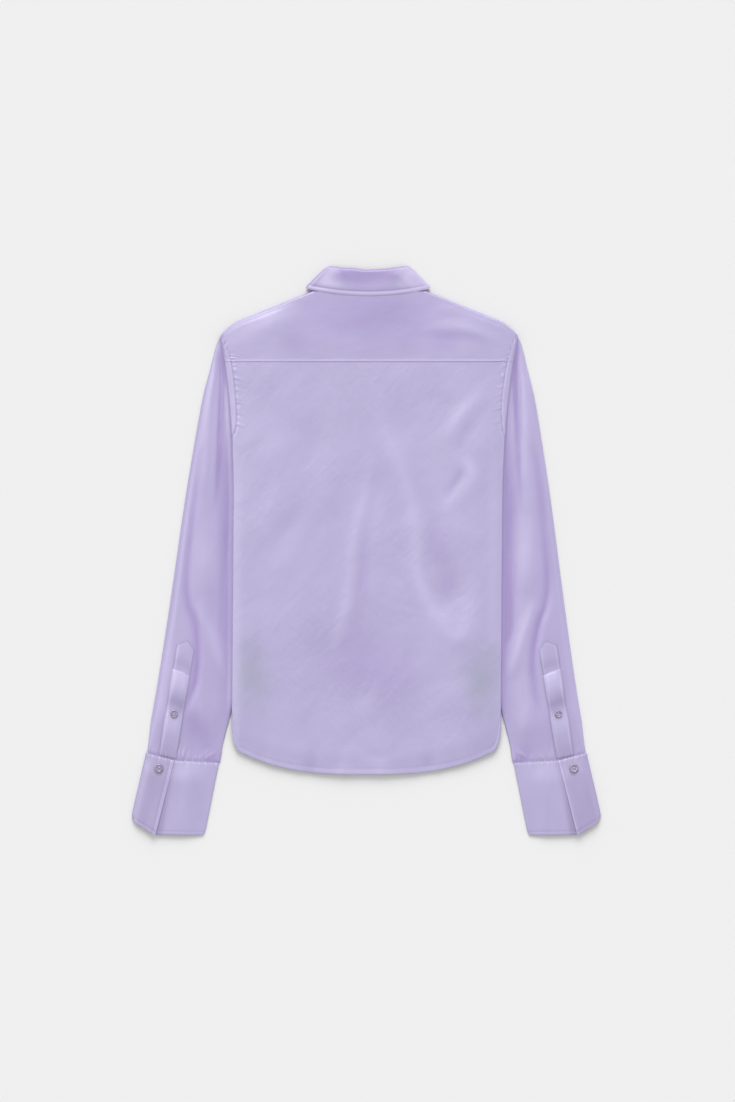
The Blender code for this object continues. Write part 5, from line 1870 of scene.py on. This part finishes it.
@dataclass(frozen=True)
class Stitching:
    """All the visible rows of stitches, one mesh for each part of the shirt."""

    back: BackPanel
    yoke: Yoke
    sleeves: dict[Side, Sleeve]
    plackets: dict[Side, SleevePlacket]
    cuffs: dict[Side, Cuff]
    fall: CollarFall
    thread: bpy.types.Material

    def rows(self, place: Place, u: Array, v: Array, **sizes: float) -> StitchRun:
        """A run over a piece's own points."""
        x, y, z = place(u, v)
        return StitchRun(leaned(x, y, z), **sizes)

    def hem_run(self) -> list[StitchRun]:
        """The row along the back's hem."""
        x = np.linspace(-0.1735, 0.1735, 320)
        slope = np.sign(x) * FORM.hem_slope(abs(x))
        inward = self.back.hem_width / np.hypot(1.0, slope)
        x, y = x - slope * inward, FORM.hem(abs(x)) + inward
        return [StitchRun(leaned(x, y, self.back.top(x, y, x)))]

    def yoke_run(self) -> list[StitchRun]:
        """The row just above the yoke's seam."""
        x = np.linspace(-0.176, 0.176, 260)
        y = np.full_like(x, FORM.yoke_y - self.yoke.lap + 0.0016)
        return [StitchRun(leaned(x, y, self.yoke.top(x, y) - 0.00005), thick=0.00026)]

    def armhole_runs(self) -> list[StitchRun]:
        """The rows along the armholes' seams."""
        runs = []
        for side in Side:
            y = np.linspace(0.274, 0.156, 150)
            sign = float(side.value)
            x = sign * (FORM.half(y) - band_width(y, np.full_like(y, sign)) + 0.0010)
            on_yoke = y > FORM.yoke_y - self.yoke.lap
            z = np.where(on_yoke, self.yoke.top(x, y), self.back.top(x, y, x)) - 0.0001
            runs.append(StitchRun(leaned(x, y, z), pitch=0.0028, length=0.0020, thick=0.00030))
        return runs

    def collar_run(self) -> list[StitchRun]:
        """The row along the fall's edge."""
        u = np.linspace(0.5 - 0.5 * CollarBand.BACK_SHARE, 0.5 + 0.5 * CollarBand.BACK_SHARE, 240)
        return [self.rows(self.fall.place, u, np.full_like(u, 1 - 0.0056 / 0.036), thick=0.00028)]

    def cuff_runs(self, side: Side) -> list[StitchRun]:
        """The rows round a cuff's upper layers."""
        cuff = self.cuffs[side]
        wrist = 1 - cuff.stitch_in / 0.098
        flap = np.linspace(cuff.stitch_in / 0.165, 0.20, 60)
        under = np.linspace(0.68, 0.97, 80)
        down = np.linspace(0.04, wrist, 90)
        return [
            self.rows(cuff.place, flap, np.full_like(flap, wrist)),
            self.rows(cuff.place, under, np.full_like(under, wrist)),
            self.rows(cuff.place, np.full_like(down, cuff.stitch_in / 0.165), down),
        ]

    def placket_runs(self, side: Side) -> list[StitchRun]:
        """The rows round a placket, and its bar."""
        placket = self.plackets[side]
        inset = 0.0016 / 0.0235
        down = np.linspace(0.02, 0.99, 110)
        top = np.linspace(inset, 1 - inset, 40)
        bar = np.linspace(0.06, 0.94, 40)
        runs = [self.rows(placket.place, np.full_like(down, share), down) for share in (inset, 1 - inset)]
        runs.append(self.rows(placket.place, top, np.full_like(top, 0.012)))
        slant = placket.BAR_AT - 0.02 * (bar - 0.5)
        runs.append(self.rows(placket.place, bar, slant, pitch=0.0016, length=0.0015))
        return runs

    def build(self, wardrobe: Wardrobe) -> None:
        """Make all the rows."""
        groups = {
            "back_stitches": self.hem_run(),
            "yoke_stitches": self.yoke_run(),
            "armhole_stitches": self.armhole_runs(),
            "collar_stitches": self.collar_run(),
        }
        for side in Side:
            groups[f"cuff_stitches_{side.word}"] = self.cuff_runs(side)
            groups[f"placket_stitches_{side.word}"] = self.placket_runs(side)
        for name, runs in groups.items():
            bm = bmesh.new()
            for run in runs:
                run.sew(bm)
            made = wardrobe.object(name, bm, self.thread)
            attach(made, BODY)
            log.info("%s: %d faces", name, len(made.data.polygons))


# ---------------------------------------------------------------------------------------------
# Studio


@dataclass(frozen=True)
class Studio:
    """Plain pale floor, soft light from above the collar, and a camera straight overhead."""

    frame_height: float = 1.4326
    camera_height: float = 6.0
    floor_colour: Colour = (0.80, 0.80, 0.80, 1.0)
    fill: float = 0.726
    lights: tuple[tuple[str, float, float, float, float, bool], ...] = (
        # name, strength, spread, angle from the collar's side, angle from overhead, gloss alone
        ("soft_box", 2.2, 38.0, 0.0, 59.0, False),
        ("gloss_card", 1.5, 24.0, -28.0, 30.0, True),
        ("left_card", 0.45, 26.0, -85.0, 34.0, True),
        ("right_card", 0.25, 26.0, 85.0, 36.0, True),
    )

    def floor(self) -> None:
        """Make the floor."""
        bm = bmesh.new()
        bmesh.ops.create_grid(bm, x_segments=2, y_segments=2, size=6.0)
        mesh = bpy.data.meshes.new("floor")
        bm.to_mesh(mesh)
        bm.free()
        tree = Shading("pale_floor")
        speck = tree.noise(tree.coordinates(), 2.0, 1.0)
        colour = tree.colour_mix(speck, shade(self.floor_colour, 0.998), shade(self.floor_colour, 1.002))
        mesh.materials.append(tree.finish({"Base Color": colour, "Roughness": 0.9,
                                           "Specular IOR Level": 0.0}))
        made = bpy.data.objects.new("floor", mesh)
        made.location = (0.0, 0.0, -0.0002)
        bpy.context.scene.collection.objects.link(made)

    def sun(
        self, name: str, strength: float, spread: float, aim: tuple[float, float, float]
    ) -> bpy.types.Object:
        """Add a soft distant light.

        Args:
            name: Its name.
            strength: Its strength.
            spread: The angle that it fills, in degrees.
            aim: The direction that it comes from.

        Returns:
            The light.
        """
        light = bpy.data.lights.new(name, "SUN")
        light.energy = strength
        light.angle = math.radians(spread)
        made = bpy.data.objects.new(name, light)
        made.rotation_euler = Vector(aim).to_track_quat("Z", "Y").to_euler()
        bpy.context.scene.collection.objects.link(made)
        return made

    def camera(self) -> None:
        """Add the camera."""
        data = bpy.data.cameras.new("overhead")
        data.sensor_fit = "VERTICAL"
        data.sensor_height = 36.0
        data.lens = 36.0 * self.camera_height / self.frame_height
        data.clip_end = 50.0
        made = bpy.data.objects.new("overhead", data)
        made.location = (0.0, 0.0, self.camera_height)
        bpy.context.scene.collection.objects.link(made)
        bpy.context.scene.camera = made

    def build(self) -> None:
        """Set the studio up."""
        scene = bpy.context.scene
        scene.view_settings.view_transform = "Standard"
        self.floor()
        for name, strength, spread, around, down, gloss in self.lights:
            turn, lean = math.radians(around), math.radians(down)
            aim = (math.sin(turn) * math.sin(lean), math.cos(turn) * math.sin(lean), math.cos(lean))
            self.sun(name, strength, spread, aim).visible_diffuse = not gloss
        world = bpy.data.worlds.new("studio")
        world.use_nodes = True
        world.node_tree.nodes["Background"].inputs["Color"].default_value = (1.0, 1.0, 1.0, 1.0)
        world.node_tree.nodes["Background"].inputs["Strength"].default_value = self.fill
        scene.world = world
        self.camera()
        log.info("studio set")


# ---------------------------------------------------------------------------------------------


def sew_buttons(wardrobe: Wardrobe, sleeves: dict[Side, Sleeve], plackets: dict[Side, SleevePlacket]) -> None:
    """Make every button.

    Args:
        wardrobe: What makes pieces.
        sleeves: The sleeves; not used.
        plackets: Their plackets, which carry the small buttons.
    """
    pearl = PearlFinish().material()
    thread = ThreadFinish("button_thread", (0.66, 0.60, 0.82, 1.0)).material()
    large, small = Button(0.00575, 0.0023), Button(0.0050, 0.0021)
    for side in Side:
        for name, button in (("cuff", large), ("placket", small)):
            node = f"{name}_button_{side.word}"
            low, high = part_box(node)
            at = Vector(((low[0] + high[0]) / 2, (low[1] + high[1]) / 2, low[2]))
            if name == "placket":
                x = abs(at.x - float(FORM.lean(np.float64(at.y))))
                strip = plackets[side]
                face = strip.sleeve.top(np.array([x]), np.array([at.y]))[0] + strip.rise
                at.z = max(at.z, float(face) + 0.0006)
            else:
                at.z = max(at.z, 0.0065)
            button.sew(wardrobe, node, at, 0.3 * side.value, False, pearl, thread)
    fronts = [f"front_button_{i + 1}" for i in range(6)]
    for node in fronts + ["stand_button"]:
        low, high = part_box(node)
        at = Vector(((low[0] + high[0]) / 2, (low[1] + high[1]) / 2, low[2]))
        chosen = small if node == "stand_button" else Button(0.00575, 0.0022)
        chosen.sew(wardrobe, node, at, 0.0, True, pearl, thread)


def main() -> None:
    """Build the shirt and its studio."""
    logging.basicConfig(level=logging.INFO, format="%(name)s: %(message)s")
    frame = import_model()
    log.info("frame of %d nodes", len(frame["nodes"]))
    wardrobe = Wardrobe()
    satin = SatinFinish("satin_back", (0.401, 0.355, 0.588, 1.0), grain=0.9, rumple=0.00035, pressed=True,
                        patches=((-0.152, -0.163), (0.148, -0.165)))
    across = SatinFinish("satin_yoke", (0.392, 0.340, 0.580, 1.0), grain=math.pi / 2)
    plain = SatinFinish("satin_front")
    # The collar gets a stronger painted highlight, the cuffs a greyer painted shade
    stiff = SatinFinish("satin_collar", (0.372, 0.318, 0.556, 1.0), rumple=0.0003, highlight_lift=0.105)
    cuffed = SatinFinish("satin_cuff", (0.386, 0.338, 0.572, 1.0), rumple=0.0003, shade_tint=(0.78, 0.74, 0.80, 1.0))
    sleeved = SatinFinish("satin_sleeve", (0.392, 0.333, 0.580, 1.0))

    back = BackPanel(satin)
    yoke = Yoke(across)
    back.build(wardrobe)
    yoke.build(wardrobe)
    for side in Side:
        FrontPanel(side, plain).build(wardrobe)
    fall = CollarFall("fall", stiff, (0.0512, 0.3705), (0.0782, 0.3400), 0.0050, 0.0088,
                      0.0077, 0.0, 0.0009, Cut(0.420, 0.060, 0.0185))
    stand = CollarStand("stand", stiff, (0.0475, 0.3655), (0.0695, 0.3383), 0.0010, 0.0008,
                        0.0049, 0.00135, 0.0009, Cut(0.400, 0.032, 0.0106), end_roll=0.0008)
    fall.build(wardrobe)
    stand.build(wardrobe)
    sleeves = {side: Sleeve(side, sleeved) for side in Side}
    cuffs = {side: Cuff(side, cuffed) for side in Side}
    plackets = {side: SleevePlacket(side, cuffed, sleeves[side]) for side in Side}
    for group in (sleeves, cuffs, plackets):
        for piece in group.values():
            piece.build(wardrobe)
    thread = ThreadFinish("seam_thread").material()
    Stitching(back, yoke, sleeves, plackets, cuffs, fall, thread).build(wardrobe)
    sew_buttons(wardrobe, sleeves, plackets)
    Studio().build()


if __name__ == "__main__":
    main()
